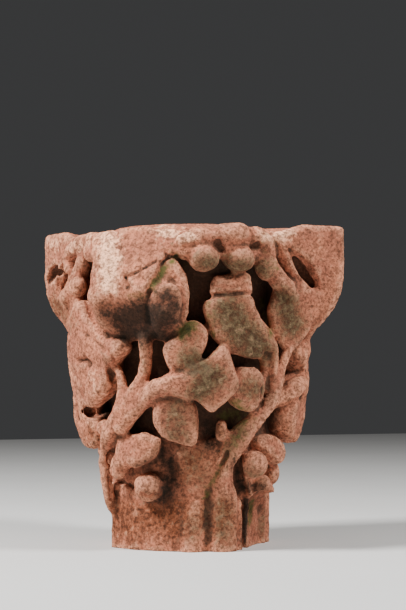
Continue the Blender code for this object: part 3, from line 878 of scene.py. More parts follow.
@dataclass
class LeftFace:
    """Lumps and a berry at the top of the left face, beside the near corner leaf."""

    bearing: float = -90.0
    brow: Line = (
        (90, 241, 32.8, 2.4), (100, 240, 32.8, 2.6), (110, 243, 32, 3), (100, 254, 33.2, 2.8),
        (91, 254, 33.6, 2.6))
    cheek: Line = (
        (92, 241, 33, 2.8), (82, 244, 33.8, 2.9), (72.5, 252, 34.4, 2.6), (68, 261, 34.8, 2.2),
        (70, 269, 34.8, 1.9))
    berry: Line = ((78, 287, 35.2, 3.3),)
    hollows: Line = (
        (82, 271, 35.6, 1.5), (87, 266, 35.8, 2), (94, 267, 35.6, 1.9), (89, 271, 34.4, 1.9),
        (70, 268, 37, 0.8), (76, 300, 35.6, 1.5), (84, 300.5, 35, 1.4))
    fin_hole: Line = ((48.2, 84.6, 2, 1.2), (46, 86.6, 3.2, 2.6), (43, 88.4, 5.4, 2.3))
    far_stem: Line = (
        (-107, 20.5, 20, 2.6), (-112, 26.4, 34, 2.8), (-119, 30, 47, 2.5), (-126, 33.4, 59, 2.5),
        (-131, 35.4, 68, 3))
    far_leaves: tuple[Line, ...] = (
        ((-124, 29.6, 48, 1.6), (-117.5, 29, 42.5, 1.8), (-130.5, 29, 42.5, 1.8),
         (-124, 28.2, 35.5, 1.1), (-124, 30.6, 42, 1.8), (-124, 26, 42, 3)),
        ((-114, 33.4, 76.5, 1.6), (-110.5, 32.8, 68, 2), (-124, 32.8, 68, 2), (-118, 31.6, 60.5, 1.4),
         (-117, 34.4, 68.5, 2), (-117, 28, 68, 3)))

    def carve(self, bench: Banker) -> None:
        """Set the lumps of the left face.

        Args:
            bench: Where the shapes are gathered.
        """
        bench.lump(self.brow, self.bearing)
        bench.pebbles(self.berry, self.bearing)
        bench.pebbles(self.hollows, self.bearing, cut=Cut.HOLLOW)
        bench.chain(self.cheek, self.bearing)
        bench.row(-135.0, self.fin_hole, Cut.HOLLOW)
        for balls in (*zip(self.far_stem, self.far_stem[1:]), *self.far_leaves):
            bench.spread(balls)


@dataclass
class FootRelief:
    """Ridge and swelling of the foot, and the flute between two trunks."""

    ridge: Line = (
        (195, 505, 23.4, 2.6), (193.5, 520, 23.2, 3.2), (192, 540, 23.2, 3.6), (192, 565, 23.2, 3.7))
    swelling: Line = (
        (186, 452, 22.4, 4), (212, 448, 23, 4), (186, 474, 21.6, 4), (206, 474, 22.4, 4),
        (196, 492, 21.8, 4))
    left_edge: Line = (
        (118, 484, 23.6, 2), (118, 510, 23.6, 2), (118, 562, 23.6, 2), (140, 490, 22.6, 2),
        (140, 562, 22.6, 2))
    flute: Line = (
        (30, 27.4, -5, 5.6), (30, 27.4, 9, 5.6), (34, 27, 12, 6.2), (34, 27, -5, 6.2),
        (60, 27, -5, 6.2), (60, 27, 9, 6))
    slot: Line = ((20, 25.8, -5, 2.2), (20, 25.8, 15, 2.6), (24, 20.5, -5, 1.8), (24, 20.5, 13, 2))
    hollow: Line = ((166, 452, 27.2, 3.2), (170, 474, 26.8, 3.2), (166, 496, 26.8, 2.6))
    groove: Line = ((228, 452, 29, 0.8), (214, 478, 27.8, 1.1), (205, 498, 27, 1.1))

    def carve(self, bench: Banker) -> None:
        """Set the relief of the foot.

        Args:
            bench: Where the shapes are gathered.
        """
        bench.chain(self.ridge, -26.0)
        bench.lump(self.swelling, -22.0)
        bench.lump(self.left_edge, -80.0)
        for balls in (self.flute, self.slot):
            bench.spread(balls, Cut.HOLLOW)
        bench.chain(self.groove, -14.0, cut=Cut.HOLLOW)
        bench.chain(self.hollow, -34.0, cut=Cut.HOLLOW)


@dataclass(frozen=True)
class Stroke:
    """A chisel line drawn on the seen side: it sinks or raises the surface along a path."""

    path: Line
    depth: float
    width: float
    turns: Point = (0.0,)


@dataclass(frozen=True)
class Stain:
    """A patch of colour drawn on the seen side: its path, how far it spreads and its strength."""

    path: Line
    spread: float
    amount: float = 1.0


@dataclass
class Chisel:
    """Lines, cracks and dents cut after the block is roughed out. Depths are in millimetres."""

    strokes: tuple[Stroke, ...] = (
        Stroke(((121, 240), (119, 256), (124, 276), (131, 290)), -1.1, 1.8),
        Stroke(((119.5, 252), (122, 241), (132, 231.5), (150, 240), (163, 257)), -0.9, 1.3),
        Stroke(((125, 277), (134, 274), (150, 265), (156, 261)), -2, 1.6),
        Stroke(((125, 277), (128, 287)), -2, 1.6),
        Stroke(((160, 265), (168, 258), (177, 256)), -2, 1.6),
        Stroke(((149, 292), (146, 306), (148, 322), (155, 336)), -2.4, 2.2),
        Stroke(((152, 291), (160, 283), (172, 280), (181, 289), (184, 305), (180, 322)), -2.2, 1.6),
        Stroke(((98, 268), (91, 280)), -1.4, 3),
        Stroke(((87, 300), (91, 314), (98, 326), (108, 337)), -1.6, 2.4),
        Stroke(((112, 286), (110.5, 297)), -1.6, 2),
        Stroke(((112, 300), (118, 316), (124, 330)), -1.2, 2.4),
        Stroke(((84, 333), (99, 344), (115, 360)), -1.7, 1.3),
        Stroke(((79, 361), (84, 360), (88, 364)), -6, 2.8),
        Stroke(((87, 366), (84, 380), (82, 396)), -2.2, 1.7),
        Stroke(((110, 371), (113, 380)), -6, 2.6),
        Stroke(((214, 286), (230, 287), (247, 285)), -1.2, 1.2, FRONT_FACES),
        Stroke(((212, 295), (230, 294.5), (248, 292)), -1.8, 1.5, FRONT_FACES),
        Stroke(((248, 331), (258, 338), (266, 350), (269.5, 370), (268, 390)), -1.5, 3.4, FRONT_FACES),
        Stroke(((263.5, 388), (261.5, 405)), -3.6, 1.6, FRONT_FACES),
        Stroke(((176, 370), (192, 372), (206, 366), (218, 352)), -1.6, 3, FRONT_FACES),
        Stroke(((297, 284), (300, 292)), -2.4, 1.8),
        Stroke(((283, 296), (280, 312), (286, 330)), -0.9, 1),
        Stroke(((286, 258), (284, 272), (292, 290), (304, 300)), -0.7, 1),
        Stroke(((218, 424), (226, 430)), -1.2, 1.6),
        Stroke(((109.5, 470), (111, 500)), -3, 1.3),
        Stroke(((113, 481), (124, 482.5), (134, 487)), -2.6, 1.6),
        Stroke(((142, 495), (149, 498), (156, 495)), -3.2, 2.6),
        Stroke(((142, 434), (147, 440), (158, 443)), 1.4, 1.6),
        Stroke(((240, 468), (252, 478), (266, 470)), -0.8, 2, FRONT_FACES),
        Stroke(((214, 504), (212, 540)), -1, 2.4),
        Stroke(((222, 500), (220, 530), (226, 545)), -1.2, 1.8),
        Stroke(((186, 536), (196, 534)), -1.2, 3))


@dataclass(frozen=True)
class Stains:
    """Patches of colour drawn on the seen side, by kind."""

    cream: tuple[Stain, ...] = (
        Stain(((108, 240), (108, 262), (108, 284)), 12), Stain(((92, 238), (74, 250)), 8, 0.6),
        Stain(((120, 256), (119, 262)), 4), Stain(((162, 231), (176, 234), (190, 236)), 7, 0.9),
        Stain(((264, 236), (275, 238), (290, 234)), 7, 0.8), Stain(((52, 245), (72, 240)), 9, 0.5),
        Stain(((92, 380), (100, 392)), 8, 0.35))
    warm: tuple[Stain, ...] = (
        Stain(((120, 520), (160, 520), (220, 520)), 30, 0.9), Stain(((92, 432), (92, 440)), 14, 0.9),
        Stain(((58, 305), (62, 318)), 14, 0.8), Stain(((190, 470), (205, 455)), 20, 0.8),
        Stain(((140, 350), (146, 370)), 8, 0.6), Stain(((218, 426), (222, 434)), 5))
    olive: tuple[Stain, ...] = (
        Stain(((206, 505), (205, 530)), 6, 0.6), Stain(((228, 310), (240, 330), (258, 350)), 24),
        Stain(((190, 360), (214, 376), (200, 390)), 18), Stain(((180, 350), (195, 336)), 14, 0.5),
        Stain(((203, 262), (238, 266), (264, 270)), 14, 0.85), Stain(((246, 388), (262, 392)), 16, 0.8),
        Stain(((284, 300), (292, 326)), 18, 0.95), Stain(((240, 430), (228, 452)), 12, 0.7),
        Stain(((264, 510), (262, 535)), 6, 0.7), Stain(((176, 410), (178, 434)), 20, 0.72),
        Stain(((192, 520), (192, 540)), 10, 0.6), Stain(((190, 456), (204, 480)), 18, 0.55),
        Stain(((58, 300), (66, 322)), 14, 0.5), Stain(((222, 505), (224, 540)), 16, 0.6),
        Stain(((144, 345), (146, 372)), 8, 0.4), Stain(((248, 472), (262, 478)), 10, 0.7))
    # Painted shade: dark patches laid where shadow falls under the leaves and berries, along grooves
    # and in slots.
    soot: tuple[Stain, ...] = (
        Stain(((126, 319), (142, 314), (160, 318)), 19, 1.2), Stain(((104, 312), (116, 322)), 15, 0.8),
        Stain(((128, 334), (150, 334), (162, 336)), 14, 1.1),
        Stain(((166, 298), (172, 308), (166, 324)), 16, 0.95),
        Stain(((125, 277), (134, 274), (150, 265), (156, 261)), 1, 1.7),
        Stain(((160, 265), (168, 258), (177, 256)), 1, 1.9), Stain(((125, 277), (129, 288)), 1, 1.5),
        Stain(((246, 500), (243, 545)), 3, 1.6), Stain(((186, 372), (206, 368)), 8, 0.5),
        Stain(((212, 520), (224, 528)), 10, 0.35), Stain(((184, 334), (190, 330)), 5, 0.7),
        Stain(((208, 428), (209, 446)), 13, 0.8), Stain(((164, 452), (171, 474), (166, 498)), 14, 0.85),
        Stain(((130, 474), (142, 465), (156, 460)), 7, 0.8),
        Stain(((234, 464), (240, 486), (262, 488)), 8, 0.9))
    moss: tuple[Stain, ...] = (
        Stain(((176, 258), (164, 268), (152, 288)), 4.5, 0.9), Stain(((182, 333), (192, 325)), 7, 1.2),
        Stain(((128, 296), (144, 296)), 5, 0.6), Stain(((262, 300), (266, 318), (271, 334)), 4, 0.8),
        Stain(((252, 500), (249, 524)), 3, 0.9), Stain(((226, 460), (212, 482), (206, 500)), 5, 0.6),
        Stain(((236, 425), (250, 420), (232, 446)), 9, 0.55),
        Stain(((208, 300), (212, 330), (215, 345)), 4, 0.6),
        Stain(((232, 400), (246, 412), (222, 415)), 6, 0.8), Stain(((206, 356), (218, 348)), 4, 0.6),
        Stain(((262, 252), (276, 268), (264, 244)), 6, 0.5), Stain(((170, 250), (184, 262)), 6, 0.4))


class Skin:
    """The fused block's mesh as arrays, with what the camera sees of it."""

    bin_pixels: float = 2.0
    hidden_by: float = 0.007
    far: float = 1e9
    facing_gain: float = 6.0
    stain_gain: float = 1.5
    stain_rounds: int = 3
    bend_rounds: int = 3
    bend_gain: float = 6.0
    recess_rounds: int = 4
    waves: Point = (60.0, 190.0, 370.0)
    wave_shift: Point = (3.0, 1.0, 2.0)
    small_share: float = 0.8
    shell_foot: float = 0.100
    shell_flare: float = 0.028
    shell_depth: float = 0.016

    def __init__(self, mesh: bpy.types.Mesh, sight: Sight) -> None:
        """Read the mesh.

        Args:
            mesh: The fused block.
            sight: The camera, by which strokes and stains are drawn.
        """
        self.mesh = mesh
        self.sight = sight
        self.places = self._read("co")
        self.normals = self._read("normal")

    def _read(self, name: str) -> np.ndarray:
        """Read one vector for each vertex.

        Args:
            name: Vertex property.

        Returns:
            The vectors, one to a row.
        """
        values = np.empty(len(self.mesh.vertices) * 3, np.float32)
        self.mesh.vertices.foreach_get(name, values)
        return values.reshape(-1, 3).astype(float)

    def _seen(self, turn: float) -> tuple[np.ndarray, np.ndarray, np.ndarray]:
        """Give the picture places of all vertices after the stone is turned back.

        Args:
            turn: Turn about the axis that the stone is turned back by, in degrees.

        Returns:
            Columns, rows, and how well each vertex is seen, from 0 to 1.
        """
        back = np.array(Matrix.Rotation(math.radians(-turn), 3, "Z"))
        places, normals = self.places @ back.T, self.normals @ back.T
        columns, rows, depth = self.sight.project(places)
        aim = np.array(self.sight.eye) - places
        aim /= np.linalg.norm(aim, axis=1, keepdims=True)
        facing = np.einsum("ij,ij->i", aim, normals)
        width, height = (int(size / self.bin_pixels) for size in self.sight.picture)
        cell = (np.clip(columns / self.bin_pixels, 0, width - 1).astype(int) * height
                + np.clip(rows / self.bin_pixels, 0, height - 1).astype(int))
        nearest = np.full(width * height, self.far)
        np.minimum.at(nearest, cell[facing > 0.0], depth[facing > 0.0])
        open_to_view = depth < nearest[cell] + self.hidden_by
        seen = np.clip(facing * self.facing_gain, 0.0, 1.0) * open_to_view
        return columns, rows, seen

    def _along(self, path: Line, columns: np.ndarray, rows: np.ndarray) -> np.ndarray:
        """Give every vertex's distance in the picture from a path.

        Args:
            path: Corners of the path.
            columns: Picture column of every vertex.
            rows: Picture row of every vertex.

        Returns:
            Distances in pixels.
        """
        gap = np.full(len(columns), self.far)
        for (x0, y0), (x1, y1) in zip(path, path[1:]):
            run = np.array((x1 - x0, y1 - y0))
            share = ((columns - x0) * run[0] + (rows - y0) * run[1]) / max(1e-9, float(run @ run))
            share = np.clip(share, 0.0, 1.0)
            gap = np.minimum(gap, np.hypot(columns - x0 - share * run[0],
                                           rows - y0 - share * run[1]))
        return gap

    def chisel(self, strokes: tuple[Stroke, ...]) -> None:
        """Move the surface along every stroke.

        Args:
            strokes: What is cut or raised.
        """
        shift = np.zeros(len(self.places))
        for turn in FRONT_FACES:
            columns, rows, seen = self._seen(turn)
            for stroke in strokes:
                if turn in stroke.turns:
                    gap = self._along(stroke.path, columns, rows)
                    shift += (stroke.depth * MILLIMETRE * seen
                              * np.exp(-(gap / stroke.width) ** 2))
        self.places += self.normals * shift[:, None]
        self._write()

    def weather(self, coarse: float, fine: float) -> None:
        """Wear the surface unevenly.

        Args:
            coarse: Height of the slow waves in metres.
            fine: Height of the small lumps in metres.
        """
        slow, small, tiny = self.waves
        apart = Vector(self.wave_shift)
        shift = np.empty(len(self.places))
        for number, spot in enumerate(self.places):
            here = Vector(spot)
            shift[number] = (coarse * noise.noise(here * slow)
                             + fine * noise.noise(here * small + apart)
                             + fine * self.small_share * noise.noise(here * tiny))
        self.places += self.normals * shift[:, None]
        self._write()

    def _write(self) -> None:
        """Put the moved vertices back into the mesh and read its new normals."""
        self.mesh.vertices.foreach_set("co", self.places.astype(np.float32).ravel())
        self.mesh.update()
        self.normals = self._read("normal")

    def stain(self, stains: Stains) -> None:
        """Write the stains, the worn edges, and the creases and recesses that the material darkens as
        painted shade, as attributes of the mesh.

        Args:
            stains: Patches of colour drawn on the seen side.
        """
        columns, rows, seen = self._seen(0.0)
        shown = np.minimum(1.0, seen * self.stain_gain)
        for kind in fields(stains):
            values = np.zeros(len(self.places))
            for patch in getattr(stains, kind.name):
                gap = self._along(patch.path, columns, rows)
                share = patch.amount * shown * np.exp(-(gap / patch.spread) ** 2)
                values = np.maximum(values, share)
            self._attribute(kind.name, self._spread(values, self.stain_rounds))
        bend = self._bend()
        self._attribute("edge", np.clip(bend, 0.0, 1.0))
        # Creases, which the material darkens as painted shade.
        self._attribute("pocket", np.clip(-bend, 0.0, 1.0))
        # Depth under the leaves, which the material darkens as painted shade.
        self._attribute("recess_shade", self._spread(self._depth(), self.recess_rounds))

    def _depth(self) -> np.ndarray:
        """Measure how deep each vertex lies under the leaves, which sets the painted shade of the
        recesses.

        Returns:
            Depths from 0 to 1.
        """
        radius = np.hypot(self.places[:, 0], self.places[:, 1])
        height = self.places[:, 2] / HEIGHT
        front = self.shell_foot + self.shell_flare * height
        depth = (np.clip((front - radius) / self.shell_depth, 0.0, 1.0)
                 * np.clip((height - 0.28) * 8.0, 0.0, 1.0))
        return depth * np.clip((0.94 - height) * 20.0, 0.0, 1.0)

    def _edges(self) -> tuple[np.ndarray, np.ndarray]:
        """Read the edges.

        Returns:
            The first and the second end of every edge.
        """
        ends = np.empty(len(self.mesh.edges) * 2, np.int32)
        self.mesh.edges.foreach_get("vertices", ends)
        ends = ends.reshape(-1, 2)
        return ends[:, 0], ends[:, 1]

    def _spread(self, values: np.ndarray, rounds: int) -> np.ndarray:
        """Smooth values over the surface.

        Args:
            values: One number for each vertex.
            rounds: How many times each is drawn toward its neighbours.

        Returns:
            The smoothed values.
        """
        first, second = self._edges()
        count = np.zeros(len(values))
        np.add.at(count, first, 1.0)
        np.add.at(count, second, 1.0)
        for _ in range(rounds):
            total = np.zeros(len(values))
            np.add.at(total, first, values[second])
            np.add.at(total, second, values[first])
            values = 0.5 * values + 0.5 * total / np.maximum(1.0, count)
        return values

    def _bend(self) -> np.ndarray:
        """Measure how the surface bends.

        Returns:
            For each vertex a number above zero on edges and below zero in creases.
        """
        first, second = self._edges()
        run = self.places[second] - self.places[first]
        length = np.maximum(1e-6, np.linalg.norm(run, axis=1))
        turn = np.einsum("ij,ij->i", self.normals[second] - self.normals[first], run) / length
        total = np.zeros(len(self.places))
        count = np.zeros(len(self.places))
        for ends in (first, second):
            np.add.at(total, ends, turn)
            np.add.at(count, ends, 1.0)
        return self._spread(total / np.maximum(1.0, count), self.bend_rounds) * self.bend_gain

    def _attribute(self, name: str, values: np.ndarray) -> None:
        """Store one number for each vertex."""
        layer = self.mesh.attributes.new(name, "FLOAT", "POINT")
        layer.data.foreach_set("value", values.astype(np.float32))


class StoneNodes:
    """Lays out the nodes of a material one after the other."""

    def __init__(self, name: str) -> None:
        """Start a material.

        Args:
            name: The material's name.
        """
        self.material = bpy.data.materials.new(name)
        self.material.use_nodes = True
        self.tree = self.material.node_tree
        self.shader = self.tree.nodes["Principled BSDF"]
        self.place = self.node("ShaderNodeTexCoord").outputs["Object"]

    def node(self, kind: str, **settings: object) -> bpy.types.Node:
        """Add a node.

        Args:
            kind: The node's type.
            **settings: Its settings.

        Returns:
            The new node.
        """
        node = self.tree.nodes.new(kind)
        for name, value in settings.items():
            setattr(node, name, value)
        return node

    def link(self, source: bpy.types.NodeSocket, target: bpy.types.NodeSocket) -> None:
        """Join two sockets."""
        self.tree.links.new(source, target)

    def field(self, name: str) -> bpy.types.NodeSocket:
        """Return a number stored on the mesh."""
        return self.node("ShaderNodeAttribute", attribute_name=name).outputs["Fac"]

    def cloud(self, scale: float, detail: float = 3.0,
              rough: float = 0.55) -> bpy.types.NodeSocket:
        """Give soft noise.

        Args:
            scale: Patches to a metre.
            detail: How many finer layers.
            rough: How strong the finer layers are.

        Returns:
            The noise, from 0 to 1.
        """
        texture = self.node("ShaderNodeTexNoise")
        for name, number in (("Scale", scale), ("Detail", detail), ("Roughness", rough)):
            texture.inputs[name].default_value = number
        self.link(self.place, texture.inputs["Vector"])
        return texture.outputs["Fac"]

    def cells(self, scale: float) -> bpy.types.NodeSocket:
        """Measure the distance to scattered points, for pits and grains.

        Args:
            scale: Points to a metre.

        Returns:
            The distance.
        """
        texture = self.node("ShaderNodeTexVoronoi")
        texture.inputs["Scale"].default_value = scale
        self.link(self.place, texture.inputs["Vector"])
        return texture.outputs["Distance"]

    def step(self, value: bpy.types.NodeSocket, low: float, high: float, start: float = 0.0,
             end: float = 1.0) -> bpy.types.NodeSocket:
        """Give a soft step.

        Args:
            value: What is stepped.
            low: Where the step starts.
            high: Where it ends.
            start: Result below the step.
            end: Result above it.

        Returns:
            The stepped value.
        """
        node = self.node("ShaderNodeMapRange", interpolation_type="SMOOTHSTEP")
        for socket, number in (("From Min", low), ("From Max", high), ("To Min", start),
                               ("To Max", end)):
            node.inputs[socket].default_value = number
        self.link(value, node.inputs["Value"])
        return node.outputs["Result"]

    def math(self, operation: str, first: bpy.types.NodeSocket,
            second: bpy.types.NodeSocket | float) -> bpy.types.NodeSocket:
        """Give the result of a math node.

        Args:
            operation: The node's operation.
            first: First value.
            second: Second value, as a socket or as a number.

        Returns:
            The result.
        """
        node = self.node("ShaderNodeMath", operation=operation)
        self.link(first, node.inputs[0])
        if isinstance(second, float):
            node.inputs[1].default_value = second
        else:
            self.link(second, node.inputs[1])
        return node.outputs[0]

    def blend(self, share: bpy.types.NodeSocket, under: bpy.types.NodeSocket | Point,
              over: bpy.types.NodeSocket | Point, kind: str = "MIX") -> bpy.types.NodeSocket:
        """Give two colours blended.

        Args:
            share: How much of the upper colour shows.
            under: Lower colour, as a socket or as numbers.
            over: Upper colour.
            kind: How the two are blended.

        Returns:
            The blended colour.
        """
        node = self.node("ShaderNodeMix", data_type="RGBA", blend_type=kind)
        self.link(share, node.inputs[0])
        for socket, colour in ((node.inputs[6], under), (node.inputs[7], over)):
            if isinstance(colour, tuple):
                socket.default_value = (*colour, 1.0)
            else:
                self.link(colour, socket)
        return node.outputs[2]


@dataclass(frozen=True)
class SandstoneFinish:
    """Weathered pink sandstone with cream edges, painted shade under the leaves, in creases and in
    hollows, and moss in the grooves.
    """

    salmon: Point = (0.48, 0.175, 0.098)
    rose: Point = (0.36, 0.125, 0.074)
    cream: Point = (0.95, 0.50, 0.30)
    warm: Point = (0.25, 0.082, 0.040)
    olive: Point = (0.105, 0.078, 0.041)
    # Near-black colour of the painted shade under the leaves and in hollows.
    soot: Point = (0.013, 0.012, 0.009)
    moss: Point = (0.085, 0.080, 0.024)
    # Dark colour of the painted shade in creases and in the recesses behind the leaves.
    grime: Point = (0.045, 0.026, 0.017)
    speck: Point = (0.080, 0.036, 0.021)
    spots: Point = (0.44, 0.39, 0.35)
    glint: Point = (1.42, 1.36, 1.30)
    roughness: float = 0.95
    patch_scale: float = 22.0
    mottle_scale: float = 150.0
    grain_scale: float = 310.0
    pit_scale: float = 260.0
    lump_scale: float = 70.0
    broken_by: float = 1.5
    stain_start: float = 0.95
    stain_full: float = 1.75

    def material(self) -> bpy.types.Material:
        """Build the material.

        Returns:
            The sandstone material.
        """
        nodes = StoneNodes("sandstone")
        patches = nodes.cloud(self.patch_scale, 4.0)
        mottle = nodes.cloud(self.mottle_scale, 3.0, 0.65)
        grain = nodes.cloud(self.grain_scale, 2.0, 0.7)
        pits = nodes.cells(self.pit_scale)
        colour = nodes.blend(nodes.step(patches, 0.35, 0.65), self.salmon, self.rose)
        warm = self._worn(nodes, "warm", patches)
        olive = self._worn(nodes, "olive", mottle, 0.95)
        colour = nodes.blend(warm, colour, self.warm)
        colour = nodes.blend(self._worn(nodes, "cream", mottle), colour, self.cream)
        edge = nodes.step(nodes.field("edge"), 0.3, 1.0, 0.0, 0.22)
        colour = nodes.blend(edge, colour, self.cream)
        colour = nodes.blend(olive, colour, self.olive)
        colour = nodes.blend(nodes.step(mottle, 0.34, 0.52, 0.45, 0.0), colour, self.speck)
        colour = nodes.blend(nodes.step(grain, 0.34, 0.52, 0.65, 0.0), colour, self.speck)
        colour = nodes.blend(nodes.step(mottle, 0.56, 0.74, 0.0, 0.2), colour, self.cream)
        # Painted shade in creases, broken up and spread a little by noise.
        crease_shade = nodes.math("ADD", nodes.field("pocket"), nodes.math("MULTIPLY", mottle, 0.9))
        colour = nodes.blend(nodes.step(crease_shade, 0.62, 1.3, 0.0, 0.75), colour, self.grime)
        # Painted shade in the recesses behind the leaves.
        colour = nodes.blend(nodes.step(nodes.field("recess_shade"), 0.05, 0.9, 0.0, 0.94), colour,
                             self.grime)
        colour = nodes.blend(self._worn(nodes, "moss", mottle), colour, self.moss)
        # Painted shade: the dark patches under the leaves and berries and in hollows.
        colour = nodes.blend(self._worn(nodes, "soot", mottle, 0.93), colour, self.soot)
        aged = nodes.math("ADD", nodes.math("MAXIMUM", warm, olive), 0.25)
        share = nodes.math("MULTIPLY", aged, nodes.step(mottle, 0.40, 0.58, 0.65, 0.0))
        colour = nodes.blend(share, colour, self.spots, "MULTIPLY")
        colour = nodes.blend(nodes.step(grain, 0.48, 0.70, 0.0, 0.8), colour, self.glint,
                             "MULTIPLY")
        colour = nodes.blend(nodes.step(pits, 0.0, 0.28, 0.5, 0.0), colour, self.speck)
        nodes.link(colour, nodes.shader.inputs["Base Color"])
        nodes.shader.inputs["Specular IOR Level"].default_value = 0.12
        rough = nodes.step(mottle, 0.3, 0.7, self.roughness - 0.07, 1.0)
        nodes.link(rough, nodes.shader.inputs["Roughness"])
        self._bump(nodes, mottle, grain, pits)
        return nodes.material

    def _worn(self, nodes: StoneNodes, name: str, mottle: bpy.types.NodeSocket,
              most: float = 1.0) -> bpy.types.NodeSocket:
        """Give a stain with a broken edge.

        Args:
            nodes: The material that is being built.
            name: Stored field of the stain.
            mottle: Noise that breaks the edge.
            most: Largest share.

        Returns:
            How much of the stain shows.
        """
        torn = nodes.math("MULTIPLY", mottle, self.broken_by)
        return nodes.step(nodes.math("ADD", nodes.field(name), torn), self.stain_start,
                          self.stain_full, 0.0, most)

    def _bump(self, nodes: StoneNodes, mottle: bpy.types.NodeSocket,
              grain: bpy.types.NodeSocket, pits: bpy.types.NodeSocket) -> None:
        """Join the grain, lumps and pits of the surface to the shader.

        Args:
            nodes: The material that is being built.
            mottle: Noise of the lumps.
            grain: Noise of the sand grains.
            pits: Distance to the pits.
        """
        normal = None
        for height, distance, strength in ((nodes.cloud(self.lump_scale, 4.0, 0.6), 0.0016, 0.7),
                                           (mottle, 0.0014, 0.9), (grain, 0.0010, 0.9),
                                           (nodes.step(pits, 0.0, 0.35), 0.0006, 0.6)):
            bump = nodes.node("ShaderNodeBump")
            bump.inputs["Distance"].default_value = distance
            bump.inputs["Strength"].default_value = strength
            nodes.link(height, bump.inputs["Height"])
            if normal is not None:
                nodes.link(normal, bump.inputs["Normal"])
            normal = bump.outputs["Normal"]
        nodes.link(normal, nodes.shader.inputs["Normal"])


@dataclass
class CarvedBlock:
    """The block: gathers every sub-assembly, fuses it, cuts it and wears it."""

    sight: Sight
    first_step: float = 0.0020
    hollow_step: float = 0.0013
    skin_step: float = 0.0017
    softening: int = 2
    most_faces: int = 194000
    coarse_wear: float = 0.0011
    fine_wear: float = 0.00045

    def build(self) -> bpy.types.Object:
        """Carve the whole capital.

        Returns:
            The finished piece.
        """
        bench = Banker(self.sight)
        parts = [Bell(), *(Crocket(bearing) for bearing in (45.0, 135.0, 225.0)), BrokenCrocket(),
                 BerryTwig(), HangingLeaf(), BranchLeaf(), Stem(), LowBerries(), NearLeft(),
                 LeftFace(), FootRelief()]
        for part in parts:
            part.carve(bench)
            LOG.info("carved %s", type(part).__name__)
        block = self._thing(bench, Cut.STAND, "carved_capital")
        hollows = self._thing(bench, Cut.HOLLOW, "hollows")
        self._modify(block, "REMESH", mode="VOXEL", voxel_size=self.first_step)
        self._modify(hollows, "REMESH", mode="VOXEL", voxel_size=self.hollow_step)
        self._modify(block, "BOOLEAN", operation="DIFFERENCE", solver="EXACT", object=hollows)
        bpy.data.objects.remove(hollows)
        self._modify(block, "REMESH", mode="VOXEL", voxel_size=self.skin_step)
        self._modify(block, "SMOOTH", factor=0.5, iterations=self.softening)
        self._drop_crumbs(block)
        skin = Skin(block.data, self.sight)
        skin.chisel(Chisel().strokes)
        skin.weather(self.coarse_wear, self.fine_wear)
        faces = sum(len(face.vertices) - 2 for face in block.data.polygons)
        self._modify(block, "DECIMATE", ratio=min(1.0, self.most_faces / faces))
        self._beds(block)
        Skin(block.data, self.sight).stain(Stains())
        block.data.shade_smooth()
        LOG.info("%s has %d faces", block.name, len(block.data.polygons))
        return block

    def _thing(self, bench: Banker, cut: Cut, name: str) -> bpy.types.Object:
        """Make an object of all that was gathered.

        Args:
            bench: The bench that holds the shapes.
            cut: Which of them are wanted.
            name: The object's name.

        Returns:
            The new object.
        """
        mesh = bpy.data.meshes.new(name)
        bench.shapes[cut].to_mesh(mesh)
        bench.shapes[cut].free()
        return link_mesh(name, mesh)

    def _modify(self, thing: bpy.types.Object, kind: str, **settings: object) -> None:
        """Add one modifier and apply it.

        Args:
            thing: The object.
            kind: The modifier's kind.
            **settings: The modifier's settings.
        """
        hold(thing)
        modifier = thing.modifiers.new(kind.lower(), kind)
        for name, value in settings.items():
            setattr(modifier, name, value)
        bpy.ops.object.modifier_apply(modifier=modifier.name)

    def _drop_crumbs(self, thing: bpy.types.Object) -> None:
        """Delete loose crumbs: all that isn't joined to the lowest vertex.

        Args:
            thing: The block.
        """
        lowest = min(thing.data.vertices, key=lambda vert: vert.co.z).index
        with editing(thing):
            bpy.ops.mesh.select_mode(type="VERT")
            bpy.ops.mesh.select_all(action="DESELECT")
            bpy.ops.object.mode_set(mode="OBJECT")
            thing.data.vertices[lowest].select = True
            bpy.ops.object.mode_set(mode="EDIT")
            bpy.ops.mesh.select_linked()
            bpy.ops.mesh.select_all(action="INVERT")
            bpy.ops.mesh.delete(type="VERT")

    def _beds(self, thing: bpy.types.Object) -> None:
        """Cut the block off flat below and above.

        Args:
            thing: The block.
        """
        with editing(thing):
            for height, below, above in ((0.0, True, False), (HEIGHT, False, True)):
                bpy.ops.mesh.select_all(action="SELECT")
                bpy.ops.mesh.bisect(plane_co=(0.0, 0.0, height), plane_no=(0.0, 0.0, 1.0),
                                    use_fill=True, clear_inner=below, clear_outer=above)
            bpy.ops.mesh.select_all(action="SELECT")
            bpy.ops.mesh.quads_convert_to_tris()
        for vert in thing.data.vertices:
            vert.co.z = min(HEIGHT, max(0.0, vert.co.z))


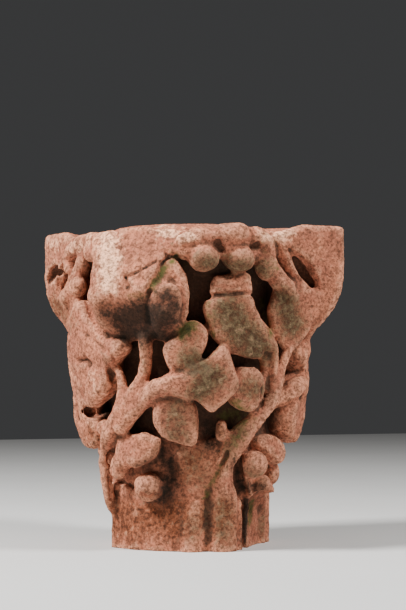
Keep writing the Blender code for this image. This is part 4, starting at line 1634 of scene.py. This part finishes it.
@dataclass
class Studio:
    """Pale floor, two soft lights and a pale room."""

    sight: Sight
    floor_side: float = 7.0
    key_power: float = 124.0
    fill_power: float = 60.0
    lamp_side: float = 0.5
    room_light: float = 0.05
    key_place: Point = (0.8, -1.45, 1.85)
    fill_place: Point = (0.7, 1.5, 1.7)
    aim_share: float = 0.55
    floor_tones: Line = ((0.60, 0.59, 0.57), (0.66, 0.65, 0.63))

    def build(self) -> None:
        """Set up the floor, the lights and the room."""
        clear_selection()
        bpy.ops.mesh.primitive_plane_add(size=self.floor_side, location=(0.0, 0.0, 0.0))
        floor = bpy.context.object
        floor.name = "floor"
        nodes = StoneNodes("pale_floor")
        colour = nodes.blend(nodes.cloud(3.0, 2.0), *self.floor_tones)
        nodes.link(colour, nodes.shader.inputs["Base Color"])
        nodes.shader.inputs["Roughness"].default_value = 0.85
        floor.data.materials.append(nodes.material)
        self._lamp("key", self.key_place, self.key_power)
        self._lamp("fill", self.fill_place, self.fill_power)
        room = bpy.data.worlds.new("room")
        room.use_nodes = True
        sky = room.node_tree.nodes["Background"]
        sky.inputs["Color"].default_value = (0.93, 0.94, 0.96, 1.0)
        sky.inputs["Strength"].default_value = self.room_light
        bpy.context.scene.world = room

    def _lamp(self, name: str, where: Point, power: float) -> None:
        """Hang one soft lamp that shines on the middle of the stone.

        Args:
            name: Its name.
            where: Metres toward the camera, to its right, and up.
            power: Its power in watts.
        """
        toward, right, up = where
        spot = (outward_of(self.sight.bearing) * toward + rightward_of(self.sight.bearing) * right
                + Vector((0.0, 0.0, up)))
        bpy.ops.object.light_add(type="AREA", location=spot)
        lamp = bpy.context.object
        lamp.name = name
        lamp.data.energy = power
        lamp.data.size = self.lamp_side
        aim = Vector((0.0, 0.0, HEIGHT * self.aim_share)) - spot
        lamp.rotation_euler = aim.to_track_quat("-Z", "Y").to_euler()


def main() -> None:
    """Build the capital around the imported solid, then the studio."""
    logging.basicConfig(level=logging.INFO, format="%(message)s")
    sight = Sight()
    sight.make_camera()
    capital = CarvedBlock(sight).build()
    capital.data.materials.clear()
    capital.data.materials.append(SandstoneFinish().material())
    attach(capital, "root")
    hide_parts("capital")
    LOG.info("%s stands for the solid", capital.name)
    Studio(sight).build()
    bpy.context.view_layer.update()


if __name__ == "__main__":
    main()
